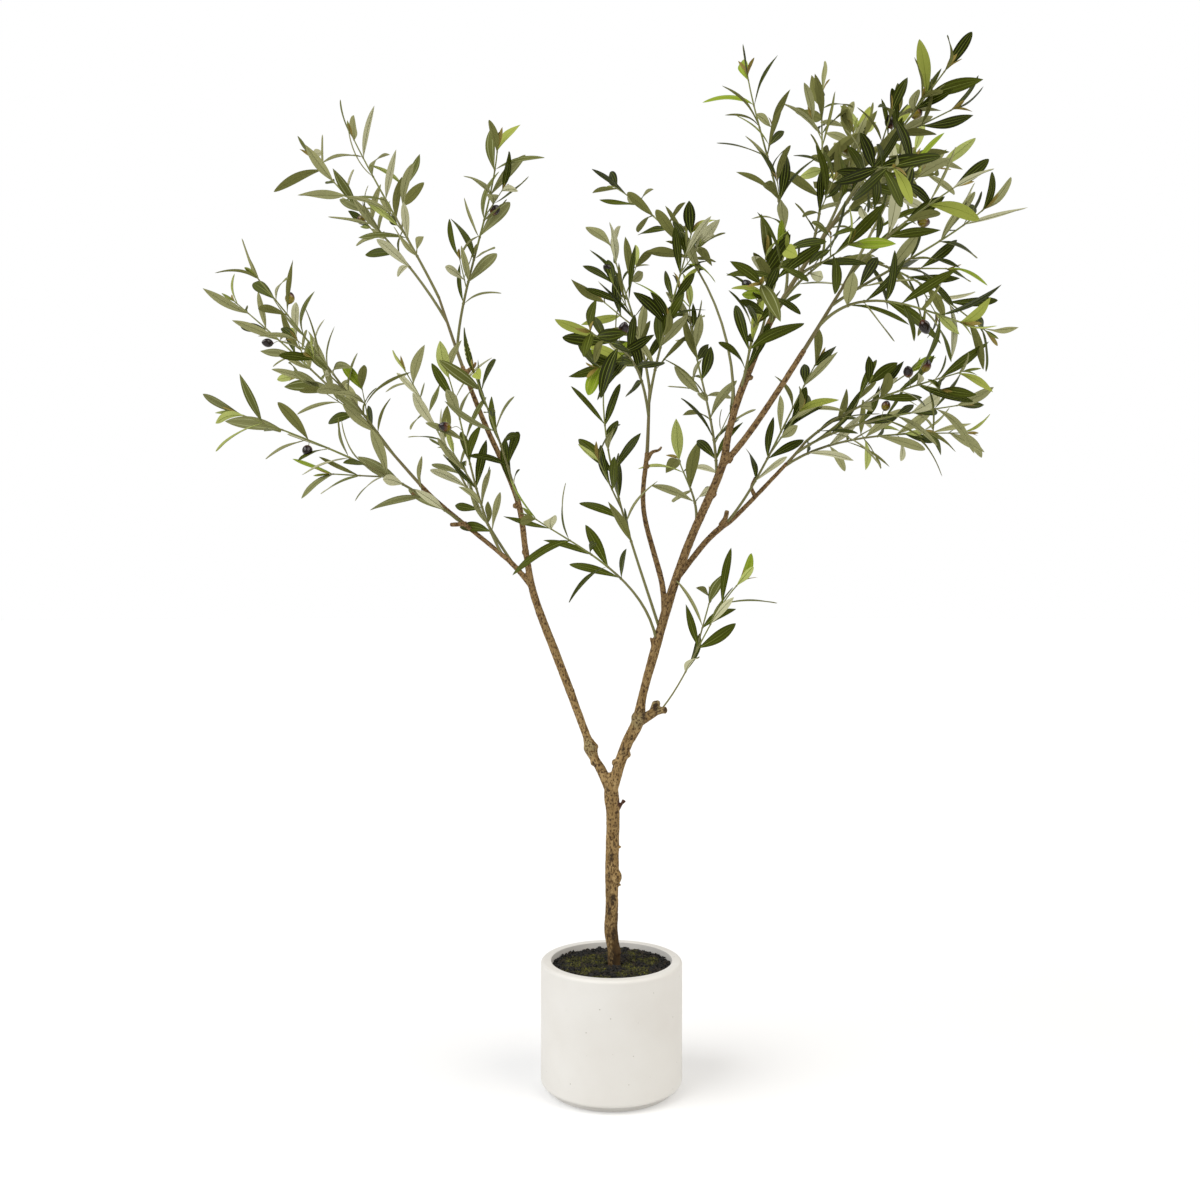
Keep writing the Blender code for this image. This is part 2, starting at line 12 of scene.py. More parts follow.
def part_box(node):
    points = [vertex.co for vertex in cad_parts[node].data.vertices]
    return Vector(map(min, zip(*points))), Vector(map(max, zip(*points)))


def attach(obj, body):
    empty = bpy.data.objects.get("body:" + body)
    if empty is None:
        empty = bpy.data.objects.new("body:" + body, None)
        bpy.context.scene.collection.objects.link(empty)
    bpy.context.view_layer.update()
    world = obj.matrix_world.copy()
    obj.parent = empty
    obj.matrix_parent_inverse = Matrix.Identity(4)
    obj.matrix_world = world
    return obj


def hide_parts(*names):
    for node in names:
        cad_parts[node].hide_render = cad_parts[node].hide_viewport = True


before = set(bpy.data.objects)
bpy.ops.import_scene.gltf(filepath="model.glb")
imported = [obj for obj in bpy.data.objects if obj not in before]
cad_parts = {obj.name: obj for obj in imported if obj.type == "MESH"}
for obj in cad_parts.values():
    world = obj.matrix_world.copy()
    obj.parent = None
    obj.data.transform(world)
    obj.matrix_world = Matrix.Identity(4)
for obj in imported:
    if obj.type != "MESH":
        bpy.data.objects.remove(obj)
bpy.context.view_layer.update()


# The pot
# A thick-walled cylinder, cast in one piece from white stone powder and resin. Its rim rolls over softly,
# its body ends in a small round above a narrower foot, and air bubbles left a few pinholes in the wall.

POT_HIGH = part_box("pot")[1]
POT_RADIUS = POT_HIGH.x
POT_HEIGHT = POT_HIGH.z
POT_WALL = 0.0207
POT_FLOOR = 0.015
RIM_ROUND = 0.007
LIP_ROUND = 0.0015
BASE_ROUND = 0.008
FOOT_RADIUS = 0.126
FOOT_HEIGHT = 0.0125
FOOT_ROUND = 0.002
POT_STEPS = 160
WALL_RINGS = 12
INSIDE_RING_DROP = 0.02
POT_UNEVEN = 0.00025
POT_UNEVEN_SCALE = 14
SHARP_ANGLE = math.radians(38)
STONE_CLOUDS = ((208, 205, 199), (213, 211, 206))
STONE_GRAIN_SCALES = (700, 9)
STONE_RELIEF = 0.00012
PIT_GREY = (158, 152, 142)
PIT_SCALE = 42
PIT_EDGES = (0.06, 0.025)
PIT_DEPTH = 6


def paint(red, green, blue):
    """A screen colour of 0 to 255 as the linear values that a shader takes."""
    values = [value / 255 for value in (red, green, blue)]
    return [v / 12.92 if v <= 0.04045 else ((v + 0.055) / 1.055) ** 2.4 for v in values] + [1.0]


def grain_group():
    """Fine grain with slow drifts of tone, as stone, bark and moulded plastic have."""
    group = bpy.data.node_groups.new("surface_grain", "ShaderNodeTree")
    for name, way, kind in (
            ("Place", "INPUT", "Vector"), ("Grain Scale", "INPUT", "Float"),
            ("Drift Scale", "INPUT", "Float"), ("Height", "OUTPUT", "Float"), ("Drift", "OUTPUT", "Float")):
        group.interface.new_socket(name, in_out=way, socket_type="NodeSocket" + kind)
    node, link = group.nodes.new, group.links.new
    inputs, outputs = node("NodeGroupInput"), node("NodeGroupOutput")
    grain, drift = node("ShaderNodeTexNoise"), node("ShaderNodeTexNoise")
    grain.inputs["Detail"].default_value = 3
    drift.inputs["Detail"].default_value = 4
    for texture, scale in ((grain, "Grain Scale"), (drift, "Drift Scale")):
        link(inputs.outputs["Place"], texture.inputs["Vector"])
        link(inputs.outputs[scale], texture.inputs["Scale"])
    spread = node("ShaderNodeMapRange")
    spread.inputs["From Min"].default_value = 0.3
    spread.inputs["From Max"].default_value = 0.7
    link(drift.outputs["Fac"], spread.inputs["Value"])
    link(grain.outputs["Fac"], outputs.inputs["Height"])
    link(spread.outputs["Result"], outputs.inputs["Drift"])
    return group


SURFACE_GRAIN = grain_group()


class Finish:
    """A new material with its Principled shader, and the nodes that its pattern is made of."""

    def __init__(self, name, colour, roughness):
        self.material = bpy.data.materials.new(name)
        self.material.use_nodes = True
        self.node = self.material.node_tree.nodes.new
        self.link = self.material.node_tree.links.new
        self.shader = self.material.node_tree.nodes["Principled BSDF"]
        self.shader.inputs["Base Color"].default_value = paint(*colour)
        self.shader.inputs["Roughness"].default_value = roughness

    def place(self):
        return self.node("ShaderNodeTexCoord").outputs["Object"]

    def feed(self, socket, value):
        """Give a socket a plain value, or link another node's output to it."""
        if isinstance(value, bpy.types.NodeSocket):
            self.link(value, socket)
        else:
            socket.default_value = value

    def grain(self, place, grain_scale, drift_scale):
        """The shared grain group with its own scales."""
        made = self.node("ShaderNodeGroup")
        made.node_tree = SURFACE_GRAIN
        made.inputs["Grain Scale"].default_value = grain_scale
        made.inputs["Drift Scale"].default_value = drift_scale
        self.link(place, made.inputs["Place"])
        return made

    def mixed(self, share, low, high):
        """A colour between two others, each a screen colour or another node's output."""
        made = self.node("ShaderNodeMix")
        made.data_type = "RGBA"
        self.link(share, made.inputs["Factor"])
        for socket, colour in ((made.inputs[6], low), (made.inputs[7], high)):
            self.feed(socket, paint(*colour) if isinstance(colour, tuple) else colour)
        return made.outputs[2]

    def ramp(self, value, low, high):
        """A mask that is 0 where a value is at low and 1 where it is at high, smooth between them."""
        made = self.node("ShaderNodeMapRange")
        made.interpolation_type = "SMOOTHSTEP"
        made.inputs["From Min"].default_value = low
        made.inputs["From Max"].default_value = high
        self.link(value, made.inputs["Value"])
        return made.outputs["Result"]

    def sums(self, operation, first, second):
        """One step of arithmetic between two values, each a number or another node's output."""
        made = self.node("ShaderNodeMath")
        made.operation = operation
        self.feed(made.inputs[0], first)
        self.feed(made.inputs[1], second)
        return made.outputs[0]

    def times(self, first, second):
        return self.sums("MULTIPLY", first, second)

    def cover(self, colour):
        self.link(colour, self.shader.inputs["Base Color"])

    def relief(self, height, depth):
        """A bump of that depth in metres."""
        made = self.node("ShaderNodeBump")
        made.inputs["Strength"].default_value = 1
        made.inputs["Distance"].default_value = depth
        self.link(height, made.inputs["Height"])
        self.link(made.outputs["Normal"], self.shader.inputs["Normal"])


def cast_stone():
    """Matt off-white stone with faint clouds and a few grey pinholes."""
    made = Finish("white_cast_stone", (210, 207, 201), 0.6)
    place = made.place()
    fine = made.grain(place, *STONE_GRAIN_SCALES)
    bubbles = made.node("ShaderNodeTexVoronoi")
    bubbles.inputs["Scale"].default_value = PIT_SCALE
    made.link(place, bubbles.inputs["Vector"])
    pits = made.ramp(bubbles.outputs["Distance"], *PIT_EDGES)
    made.cover(made.mixed(pits, made.mixed(fine.outputs["Drift"], *STONE_CLOUDS), PIT_GREY))
    height = made.sums("SUBTRACT", fine.outputs["Height"], made.times(pits, PIT_DEPTH))
    made.relief(height, STONE_RELIEF)
    return made.material


def arc(centre, radius, start, end, steps):
    """Points of a profile's round corner, as distances out from the axis and up."""
    turns = (math.radians(start + (end - start) * step / steps) for step in range(steps + 1))
    return [(centre[0] + radius * math.cos(turn), centre[1] + radius * math.sin(turn)) for turn in turns]


def added(name, mesh, *finishes):
    """A named object from a mesh, with its finishes, shaded smooth up to its sharp edges."""
    made = bpy.data.objects.new(name, mesh)
    bpy.context.scene.collection.objects.link(made)
    for material in finishes:
        mesh.materials.append(material)
    mesh.shade_smooth()
    mesh.set_sharp_from_angle(angle=SHARP_ANGLE)
    return made


def turned(profile, steps):
    """A mesh turned about Z from a profile that starts and ends on the axis."""
    work = bmesh.new()
    corners = [work.verts.new((out, 0, up)) for out, up in profile]
    edges = [work.edges.new(pair) for pair in zip(corners, corners[1:])]
    bmesh.ops.spin(
        work, geom=corners + edges, cent=(0, 0, 0), axis=(0, 0, 1), angle=2 * math.pi, steps=steps,
        use_merge=True)
    bmesh.ops.remove_doubles(work, verts=work.verts[:], dist=0.00001)
    bmesh.ops.recalc_face_normals(work, faces=work.faces[:])
    mesh = bpy.data.meshes.new("turned")
    work.to_mesh(mesh)
    work.free()
    return mesh


def pot_mesh():
    """The pot's mesh, with the slight unevenness of a piece that was sanded by hand."""
    inner = POT_RADIUS - POT_WALL
    foot = [(FOOT_RADIUS - FOOT_ROUND, 0)]
    foot += arc((FOOT_RADIUS - FOOT_ROUND, FOOT_ROUND), FOOT_ROUND, -90, 0, steps=4)[1:]
    foot.append((FOOT_RADIUS, FOOT_HEIGHT))
    base = arc((POT_RADIUS - BASE_ROUND, FOOT_HEIGHT + BASE_ROUND), BASE_ROUND, -90, 0, steps=10)
    wall = [(POT_RADIUS, POT_HEIGHT * ring / WALL_RINGS) for ring in range(2, WALL_RINGS - 1)]
    rim = arc((POT_RADIUS - RIM_ROUND, POT_HEIGHT - RIM_ROUND), RIM_ROUND, 0, 90, steps=12)
    lip = arc((inner + LIP_ROUND, POT_HEIGHT - LIP_ROUND), LIP_ROUND, 90, 180, steps=5)
    inside = [(inner, POT_HEIGHT - INSIDE_RING_DROP), (inner, POT_FLOOR), (0, POT_FLOOR)]
    mesh = turned([(0, 0), *foot, *base, *wall, *rim, *lip, *inside], POT_STEPS)
    for corner in mesh.vertices:
        if corner.co.z > FOOT_HEIGHT:
            out = Vector((corner.co.x, corner.co.y, 0)).normalized()
            corner.co += POT_UNEVEN * (noise.noise(corner.co * POT_UNEVEN_SCALE) - 0.5) * out
    return mesh


pot = added("cast_pot", pot_mesh(), cast_stone())
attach(pot, "root")
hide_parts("pot")


# The bed of crumbs and moss
# A plug holds the stem upright in the pot. It is covered to just under the rim with loose dark crumbs of
# bark and cork, glued down, and with dried moss that was pressed on in patches round the stem.

BED_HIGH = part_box("fill")[1]
BED_GAP = 0.0004
BED_RADIUS = POT_RADIUS - POT_WALL - BED_GAP
BED_TOP = BED_HIGH.z
BED_SINK = 0.001
BED_EDGE_DROP = 0.001
BED_DEPTH = 0.03
BED_RINGS = 44
BED_STEPS = 150
BED_ROUGH = 0.0026
BED_LUMP_SCALE = 90
BED_REACH = 0.985
BED_GRAIN_SCALES = (900, 60)
BED_BUMP = 0.0008
STEM_HOLE = 0.013
CRUMB_COUNT = 4600
CRUMB_SIZES = (0.0013, 0.0034)
LUMP_SHARE = 0.14
LUMP_SIZES = (0.0034, 0.0052)
CRUMB_RISE = 0.0026
CRUMB_RISES = (-0.2, 1)
CRUMB_SPANS = (0.7, 1.2)
CRUMB_HEIGHTS = (0.5, 0.9)
CRUMB_UNEVEN = 0.5
CRUMB_UNEVEN_SCALE = 1.7
SPIN = 6.3
MOSS_PATCH = 34
MOSS_SPREAD = 0.18
MOSS_EDGE = 0.6
MOSS_THICK = 0.25
MOSS_CREST = 0.28
TUFT_COUNT = 6400
TUFT_STRANDS = 3
STRAND_SIZES = (0.0018, 0.0040)
STRAND_WIDTH = 0.0004
STRAND_SHIFT = 0.001
STRAND_RISES = (0.4, 1.1)


class Bundle:
    """Many small shapes on their way into one joined mesh, each face with the number of its finish."""

    def __init__(self):
        self.corners = []
        self.faces = []
        self.tones = []

    def add(self, corners, faces, tones):
        start = len(self.corners)
        self.corners += corners
        self.faces += [tuple(start + corner for corner in face) for face in faces]
        self.tones += tones

    def build(self, name, finishes):
        mesh = bpy.data.meshes.new(name)
        mesh.from_pydata(self.corners, [], self.faces)
        mesh.polygons.foreach_set("material_index", self.tones)
        return added(name, mesh, *finishes)


def plains(*rows):
    """Plain finishes, each from its name, its colour and its roughness."""
    return [Finish(*row).material for row in rows]


def bed_height(x, y):
    """The height of the bed's surface, lumpy all over and a little lower at the wall."""
    out = math.hypot(x, y) / BED_RADIUS
    lumps = noise.fractal(Vector((x * BED_LUMP_SCALE, y * BED_LUMP_SCALE, 3)), 0.8, 2, 3)
    return BED_TOP - BED_SINK - BED_EDGE_DROP * out ** 3 + BED_ROUGH * lumps


def bed_mesh():
    """The bed as a closed plug with a rough top."""
    bundle = Bundle()
    corners = [(0, 0, bed_height(0, 0))]
    for ring in range(1, BED_RINGS + 1):
        out = BED_RADIUS * ring / BED_RINGS
        for step in range(BED_STEPS):
            turn = 2 * math.pi * step / BED_STEPS
            x, y = out * math.cos(turn), out * math.sin(turn)
            corners.append((x, y, bed_height(x, y)))
    rim = len(corners) - BED_STEPS
    corners += [(x, y, BED_TOP - BED_DEPTH) for x, y, _ in corners[rim:]]
    faces = [tuple(range(rim + 2 * BED_STEPS - 1, rim + BED_STEPS - 1, -1))]
    for step in range(BED_STEPS):
        after = (step + 1) % BED_STEPS
        faces.append((0, 1 + step, 1 + after))
        for ring in range(BED_RINGS):
            low, high = 1 + ring * BED_STEPS, 1 + (ring + 1) * BED_STEPS
            faces.append((low + step, high + step, high + after, low + after))
    bundle.add(corners, faces, [0] * len(faces))
    return bundle


def crumb_soil():
    """Nearly black crumbs with a brown cast where they are dry."""
    made = Finish("dark_crumb_bed", (24, 22, 18), 0.95)
    fine = made.grain(made.place(), *BED_GRAIN_SCALES)
    made.cover(made.mixed(fine.outputs["Drift"], (16, 15, 13), (40, 36, 24)))
    made.relief(fine.outputs["Height"], BED_BUMP)
    return made.material


def ball():
    """The corners and faces of a small round crumb of twenty faces."""
    work = bmesh.new()
    bmesh.ops.create_icosphere(work, subdivisions=1, radius=1)
    corners = [corner.co.copy() for corner in work.verts]
    faces = [tuple(corner.index for corner in face.verts) for face in work.faces]
    work.free()
    return corners, faces


def mossy(x, y):
    """How far a place lies inside a patch of moss, below zero where the crumbs are bare."""
    out = math.hypot(x, y) / BED_RADIUS
    return noise.noise(Vector((x * MOSS_PATCH, y * MOSS_PATCH, 7.5))) + MOSS_SPREAD - MOSS_EDGE * out ** 4


def in_the_bed(rule):
    """A place on the bed, even over its area and clear of the stem."""
    while True:
        out = BED_RADIUS * math.sqrt(rule.random()) * BED_REACH
        turn = rule.uniform(0, 2 * math.pi)
        if out > STEM_HOLE:
            return out * math.cos(turn), out * math.sin(turn)


def scatter_crumbs():
    """Crumbs all over the bed, in dark tones, and in greens inside the patches of moss."""
    rule = random.Random(11)
    bundle = Bundle()
    round_corners, round_faces = ball()
    for number in range(CRUMB_COUNT):
        x, y = in_the_bed(rule)
        green = mossy(x, y)
        lump = green < 0 and rule.random() < LUMP_SHARE
        size = rule.uniform(*(LUMP_SIZES if lump else CRUMB_SIZES))
        spin = rule.uniform(0, SPIN)
        turn = Matrix.Rotation(spin, 3, Vector((rule.random(), rule.random(), 1)).normalized())
        spans = [rule.uniform(*limits) for limits in (CRUMB_SPANS, CRUMB_SPANS, CRUMB_HEIGHTS)]
        shape = Vector(spans) * size
        centre = Vector((x, y, bed_height(x, y) + rule.uniform(*CRUMB_RISES) * CRUMB_RISE))
        reach = BED_RADIUS - math.hypot(x, y)
        if reach < size:
            centre *= 1 - (size - reach) / BED_RADIUS
            centre.z = bed_height(x, y) + CRUMB_RISE
        corners = []
        for corner in round_corners:
            uneven = 1 + CRUMB_UNEVEN * noise.noise(corner * CRUMB_UNEVEN_SCALE + Vector((number, 0, 0)))
            corners.append(tuple(centre + turn @ (corner * shape) * uneven))
        if green > MOSS_THICK:
            tone = rule.choice((0, 2, 2, 3, 3, 4))
        elif green > 0:
            tone = rule.choice((0, 0, 1, 2, 2, 3))
        else:
            tone = rule.choice((0, 0, 0, 1))
        bundle.add(corners, round_faces, [tone] * len(round_faces))
    return bundle


def scatter_moss():
    """Short strands of moss that stand up from their patches, each a thin three-sided spike."""
    rule = random.Random(12)
    bundle = Bundle()
    for _ in range(TUFT_COUNT):
        x, y = in_the_bed(rule)
        green = mossy(x, y)
        if green < 0:
            continue
        foot = Vector((x, y, bed_height(x, y) + 0.3 * CRUMB_RISE))
        for _ in range(TUFT_STRANDS):
            lean = Vector((rule.uniform(-1, 1), rule.uniform(-1, 1), rule.uniform(*STRAND_RISES)))
            lean.normalize()
            side = lean.orthogonal().normalized() * STRAND_WIDTH
            across = lean.cross(side)
            start = foot + Vector((rule.uniform(-1, 1), rule.uniform(-1, 1), 0)) * STRAND_SHIFT
            tip = start + rule.uniform(*STRAND_SIZES) * lean
            if math.hypot(tip.x, tip.y) > BED_RADIUS:
                continue
            base = [start + side, start - 0.5 * side + 0.87 * across, start - 0.5 * side - 0.87 * across]
            tone = rule.choice((0, 1, 1, 2)) if green > MOSS_CREST else rule.choice((0, 0, 0, 1))
            bundle.add([tuple(corner) for corner in (*base, tip)],
                       [(0, 2, 1), (0, 1, 3), (1, 2, 3), (2, 0, 3)], [tone] * 4)
    return bundle


bed = bed_mesh().build("crumb_bed", [crumb_soil()])
crumbs = scatter_crumbs().build("loose_crumbs", plains(
    ("black_crumb", (19, 18, 16), 0.95), ("brown_crumb", (44, 36, 24), 0.95),
    ("dusky_moss_crumb", (42, 40, 16), 0.95), ("olive_moss_crumb", (64, 62, 22), 0.95),
    ("bright_moss_crumb", (92, 90, 28), 0.95)))
moss = scatter_moss().build("dried_moss", plains(
    ("dusky_moss", (50, 50, 18), 0.95), ("olive_moss", (78, 80, 24), 0.95),
    ("bright_moss", (116, 116, 32), 0.95)))
for piece in (bed, crumbs, moss):
    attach(piece, "root")
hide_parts("fill")


# The trunk and the boughs
# Real prunings or their casts, with rough tan bark, swellings at every old side branch and cut stubs. The
# fork and the side boughs are blended into each other with filler, and each bark limb ends where its green
# wired branch was pushed in.

# Each limb: the limb that carries it, how far along that one it starts, and the places that it passes, as
# distances right, back and up from the middle of the pot's underside with the limb's radius, all in mm.
LIMBS = {
    "trunk": (None, 0, (
        (5.6, 0, 246.3, 12.6), (5, 0, 276, 13.2), (1.3, 0, 297, 13.2), (-1.2, 0, 320, 13.9),
        (0.6, 0, 358, 12.8), (0.8, 1, 399, 13), (1, 2, 425, 14), (1.5, 4, 470, 13.6), (3, 2, 550, 13.7),
        (0, 0, 592, 15), (0, 0, 634, 10))),
    "left_leader": ("trunk", 0.9, (
        (-20, 4, 641, 10), (-33, 7, 663, 9), (-39, 8.5, 676, 11.6), (-42.7, 10, 688, 14.6),
        (-45.5, 10.5, 697, 11.6), (-49, 11, 705, 8.9), (-56, 13, 725, 7.9), (-107, 25, 860, 8.7),
        (-158, 40, 993, 7.9), (-177, 52, 1085, 6.3), (-198, 65, 1205, 6), (-270, 85, 1370, 5.3),
        (-315, 95, 1485, 4.5), (-365, 105, 1630, 3.3))),
    "right_leader": ("trunk", 0.9, (
        (14, 0, 648, 11.4), (31, 0, 696, 11.2), (40, -3, 714, 11.8), (54, -8, 745, 12.6),
        (63, -11, 795, 8.6), (86, -18, 882, 9.5), (119, -25, 998, 9.2), (158, -35, 1110, 8.4),
        (218, -45, 1249, 8.2), (235, -48, 1330, 7), (265, -55, 1425, 7.4), (330, -65, 1570, 6.2),
        (455, -80, 1760, 4))),
    "centre_bough": ("right_leader", 0.3, (
        (101, -12, 1028, 5.8), (66, 20, 1175, 5), (75, 50, 1305, 4.8), (80, 65, 1430, 3.3))),
    "left_low_bough": ("left_leader", 0.41, (
        (-195, 52, 1053, 5.6), (-232, 60, 1087, 4.8), (-346, 110, 1178, 4.8), (-400, 130, 1227, 4.6),
        (-490, 160, 1326, 3.5))),
    "right_bough": ("right_leader", 0.555, (
        (272, -75, 1320, 6.2), (350, -130, 1439, 5.4), (440, -210, 1590, 3.2))),
    "low_right_bough": ("right_leader", 0.36, (
        (187, 0, 1102, 6), (225, 25, 1138, 6.2), (262, 55, 1166, 5), (380, 130, 1285, 4),
        (420, 150, 1330, 3.5))),
    "pruned_stub": ("right_leader", 0.13, (
        (84, -28, 766, 8.6), (112, -40, 777, 7.5))),
    "hooked_stub": ("left_low_bough", 0.62, (
        (-392, 116, 1204, 3.3), (-410, 108, 1205, 3.2), (-423, 104, 1217, 3)))}
MM = 0.001
# How far along each limb its bark ends, and the green wired branch goes on.
BARK_ENDS = {
    "left_leader": 0.86, "right_leader": 0.83, "centre_bough": 0.72, "left_low_bough": 0.74,
    "right_bough": 0.64, "low_right_bough": 0.85}
LIMB_STEP = 0.004
BARK_SIDES = 20
BARK_STEP = 0.004
BARK_VOXEL = 0.0017
BARK_BLEND = 3
FORK_SINK = 0.006
KNOT_GAPS = (0.05, 0.12)
KNOT_SIZES = (0.42, 0.62)
KNOT_END = 0.02
KNOT_SINK = 0.72
KNOT_SHAPE = ((0, 0.85), (0.5, 1), (1.1, 0.55))
STUB_CAP = 0.35
STUB_CAP_SIZE = 0.6
CRACK_SCALE = Vector((120, 120, 45))
PLATE_SCALE = Vector((75, 75, 48))
GRIT_SCALE = Vector((430, 430, 330))
PORE_SCALE = Vector((260, 260, 200))
PORE_SHIFT = Vector((0, 0, 9))
PORE_EDGE = 0.24
CRACK_WIDTH = 9
FULL_RELIEF_RADIUS = 0.014
BARK_SWELL = 0.0002
PLATE_RISE = 0.0008
CRACK_DEPTH = 0.0005
PORE_DEPTH = 0.0018
GRIT_RISE = 0.0003
BARK_TAN = (130, 104, 62)
BARK_LIGHT = (164, 138, 94)
# The layers of colour on the tan bark: each one's colour, how far it covers what is under it, and the range
# over which its pattern fades in.
BARK_LAYERS = {
    "aloft": ((128, 103, 69), 0.8, (0.7, 1.15)), "streak": ((100, 78, 48), 0.34, (0.44, 0.62)),
    "lichen": ((136, 128, 92), 0.6, (0.1, 0.6)), "foot_stain": ((60, 45, 28), 0.9, (0.2, 0.65)),
    "speck": ((78, 57, 32), 0.85, (0.52, 0.60)), "blot": ((52, 41, 28), 0.95, (0.32, 0.5)),
    # The last layer is painted shade, darkening the bark where its cracks and pores are cut deepest.
    "painted_crack_shade": ((62, 44, 28), 0.85, (0.1, 0.7))}
FINE_DRAW = 0.55
FINE_SCALES = (300, 70)
BROAD_DRAW = 0.16
BROAD_SCALES = (130, 30)
BARK_BUMP = 0.0007
# How strongly painted shade darkens the cracks and the pores of the bark.
CRACK_SHADE = 0.45
PORE_SHADE = 3.2
FOOT_HEIGHTS = (0.47, 0.27)
FOOT_SPECKS = 0.035
LICHEN_KNOTS = ((48, -20, 748), (-48, -4, 690), (86, -36, 776))
LICHEN_REACH = (9, 28)
DARK_TWIGLET = (24, -6, 577)
TWIGLET_REACH = (10, 15)
TWIGLET_BROWN = (72, 48, 36)
# Dark stains on the side that is seen first, each a place in millimetres and its reach across, and how tall
# they are against that.
STAINS = (
    ((3, -13, 383), 5), ((4, -13, 313), 5), ((2, -12, 264), 7), ((-1, -13, 470), 6), ((-6, -12, 433), 3.5),
    ((6, -12, 494), 3), ((-5, -13, 360), 4), ((-37, -3, 655), 2.6), ((24, -12, 683), 3.6),
    ((41, -14, 712), 2.6), ((66, -24, 757), 6), ((88, -38, 776), 4.5), ((108, -44, 769), 4),
    ((-66, 5, 770), 3), ((-10, -12, 604), 3))
STAIN_HEIGHT = 2.2
STAIN_EDGES = (0.6, 1.6)
# Knots and pruned stubs that show from a step away, each a chain of places right, back and up from the
# middle of the pot's underside with a radius, in millimetres.
STUBS = (
    ((9, -4, 284, 8), (12, -5, 270, 8.6)), ((8, -2, 436, 9), (12, -3, 427, 9.5), (8, -2, 416, 9)),
    ((12, 0, 408, 2.8), (18.5, -1, 410, 2.2)), ((10, 0, 485, 2.8), (18.5, -1, 487, 2)),
    ((13, -3, 561, 3.2), (20, -4, 574, 2.8), (23.5, -4, 583, 2.3)),
    ((20, -4, 574, 2.6), (27.5, -5, 581, 2.3)), ((-9, 1, 628, 9), (3, 0, 630, 9.4)),
    ((15, -2, 656, 8), (4, -5, 660, 6.6)), ((30, -1, 675, 9), (35.5, -2, 677, 7.4)),
    ((40, -4, 716, 11.2), (36.5, -5, 716, 11.2)), ((52, -9, 752, 13), (50, -11, 754, 13)),
    ((52, -10, 740, 12), (47, -12, 743, 10)),
    ((54, -10, 742, 11.4), (78, -24, 758, 9.8), (92, -30, 768, 9)),
    ((84, -28, 766, 8.6), (89, -31, 779, 8.8), (89, -31, 784, 8.2)),
    ((90, -30, 766, 8.8), (102, -36, 768, 7), (108, -39, 768.5, 7.4)),
    ((84, -20, 891, 3.4), (81, -21, 903, 2.6), (78.6, -21, 913, 2.2)),
    ((81, -21, 901, 2.4), (85, -22, 912, 2)), ((-32, 6, 660, 8), (-39.5, 6, 659, 8.4)),
    ((-38, 9, 692, 11), (-37, 9, 686, 10.6)),
    ((-303, 80, 1150, 4.8), (-320, 79, 1148, 4.6), (-337, 78, 1147, 4.4)),
    ((-309, 94, 1466, 6.9), (-298, 92, 1476, 4.4), (-289, 90, 1482, 3.2), (-286, 90, 1490, 2.6)),
    ((-311, 95, 1456, 5.8), (-312, 95, 1450, 6)), ((-198, 64, 1190, 7.6), (-198, 63, 1183, 7.8)),
    ((-179, 53, 1092, 7.6), (-178, 52, 1086, 7.6)), ((74, 48, 1270, 6.4), (73, 48, 1264, 6.2)),
    ((75, 48, 1280, 5), (84, 46, 1295, 3.8), (98, 42, 1299, 3), (104, 42, 1306, 2.4)),
    ((200, -43, 1199, 8.8), (207, -46, 1202, 5.6)), ((231, -47, 1266, 8.4), (238, -50, 1274, 6.2)),
    ((226, 25, 1142, 7), (235, 28, 1158, 5.2), (238, 29, 1172, 4.8)),
    ((274, -57, 1436, 8.6), (272, -57, 1430, 8.6)),
    ((300, 78, 1211, 5), (295, 80, 1227, 3.4), (303, 84, 1247, 2.8)),
    ((296, -60, 1500, 8), (303, -62, 1507, 5.6)))


def smooth(places, steps):
    """A smooth curve through places, with steps samples between two of them."""
    ends = [2 * places[0] - places[1], *places, 2 * places[-1] - places[-2]]
    curve = []
    for before, start, end, after in zip(ends, ends[1:], ends[2:], ends[3:]):
        for step in range(steps):
            t = step / steps
            curve.append(
                0.5 * (2 * start + (end - before) * t + (2 * before - 5 * start + 4 * end - after) * t ** 2
                       + (3 * start - before - 3 * end + after) * t ** 3))
    return curve + [places[-1]]


def along(points, share):
    """The place and the heading at a share of the length of a line of points."""
    steps = [(b.xyz - a.xyz).length for a, b in zip(points, points[1:])]
    left = share * sum(steps)
    for (start, end), step in zip(zip(points, points[1:]), steps):
        if left <= step or end is points[-1]:
            return start.lerp(end, min(left / step, 1)), (end.xyz - start.xyz).normalized()
        left -= step


def length_of(points):
    return sum((b.xyz - a.xyz).length for a, b in zip(points, points[1:]))


def evenly(points, gap, last=1.0):
    """The same line, or its first share, with its points about a gap apart."""
    count = max(2, round(last * length_of(points) / gap))
    return [along(points, last * step / count)[0] for step in range(count + 1)]


def frames(points):
    """The heading and a steady side direction at each point, turned as little as the line allows."""
    headings = []
    for index in range(len(points)):
        before, after = points[max(index - 1, 0)], points[min(index + 1, len(points) - 1)]
        headings.append((after.xyz - before.xyz).normalized())
    side = headings[0].orthogonal()
    sides = []
    for heading in headings:
        side = (side - side.dot(heading) * heading).normalized()
        sides.append(side)
    return list(zip(headings, sides))


def tube(points, radii, sides):
    """A closed tube along points."""
    corners = []
    for point, radius, (heading, side) in zip(points, radii, frames(points)):
        across = heading.cross(side)
        for step in range(sides):
            turn = 2 * math.pi * step / sides
            corners.append(tuple(point.xyz + radius * (math.cos(turn) * side + math.sin(turn) * across)))
    faces = [tuple(reversed(range(sides)))]
    for ring in range(len(points) - 1):
        for step in range(sides):
            after = (step + 1) % sides
            low, high = ring * sides, (ring + 1) * sides
            faces.append((low + step, low + after, high + after, high + step))
    faces.append(tuple(range(len(corners) - sides, len(corners))))
    return corners, faces


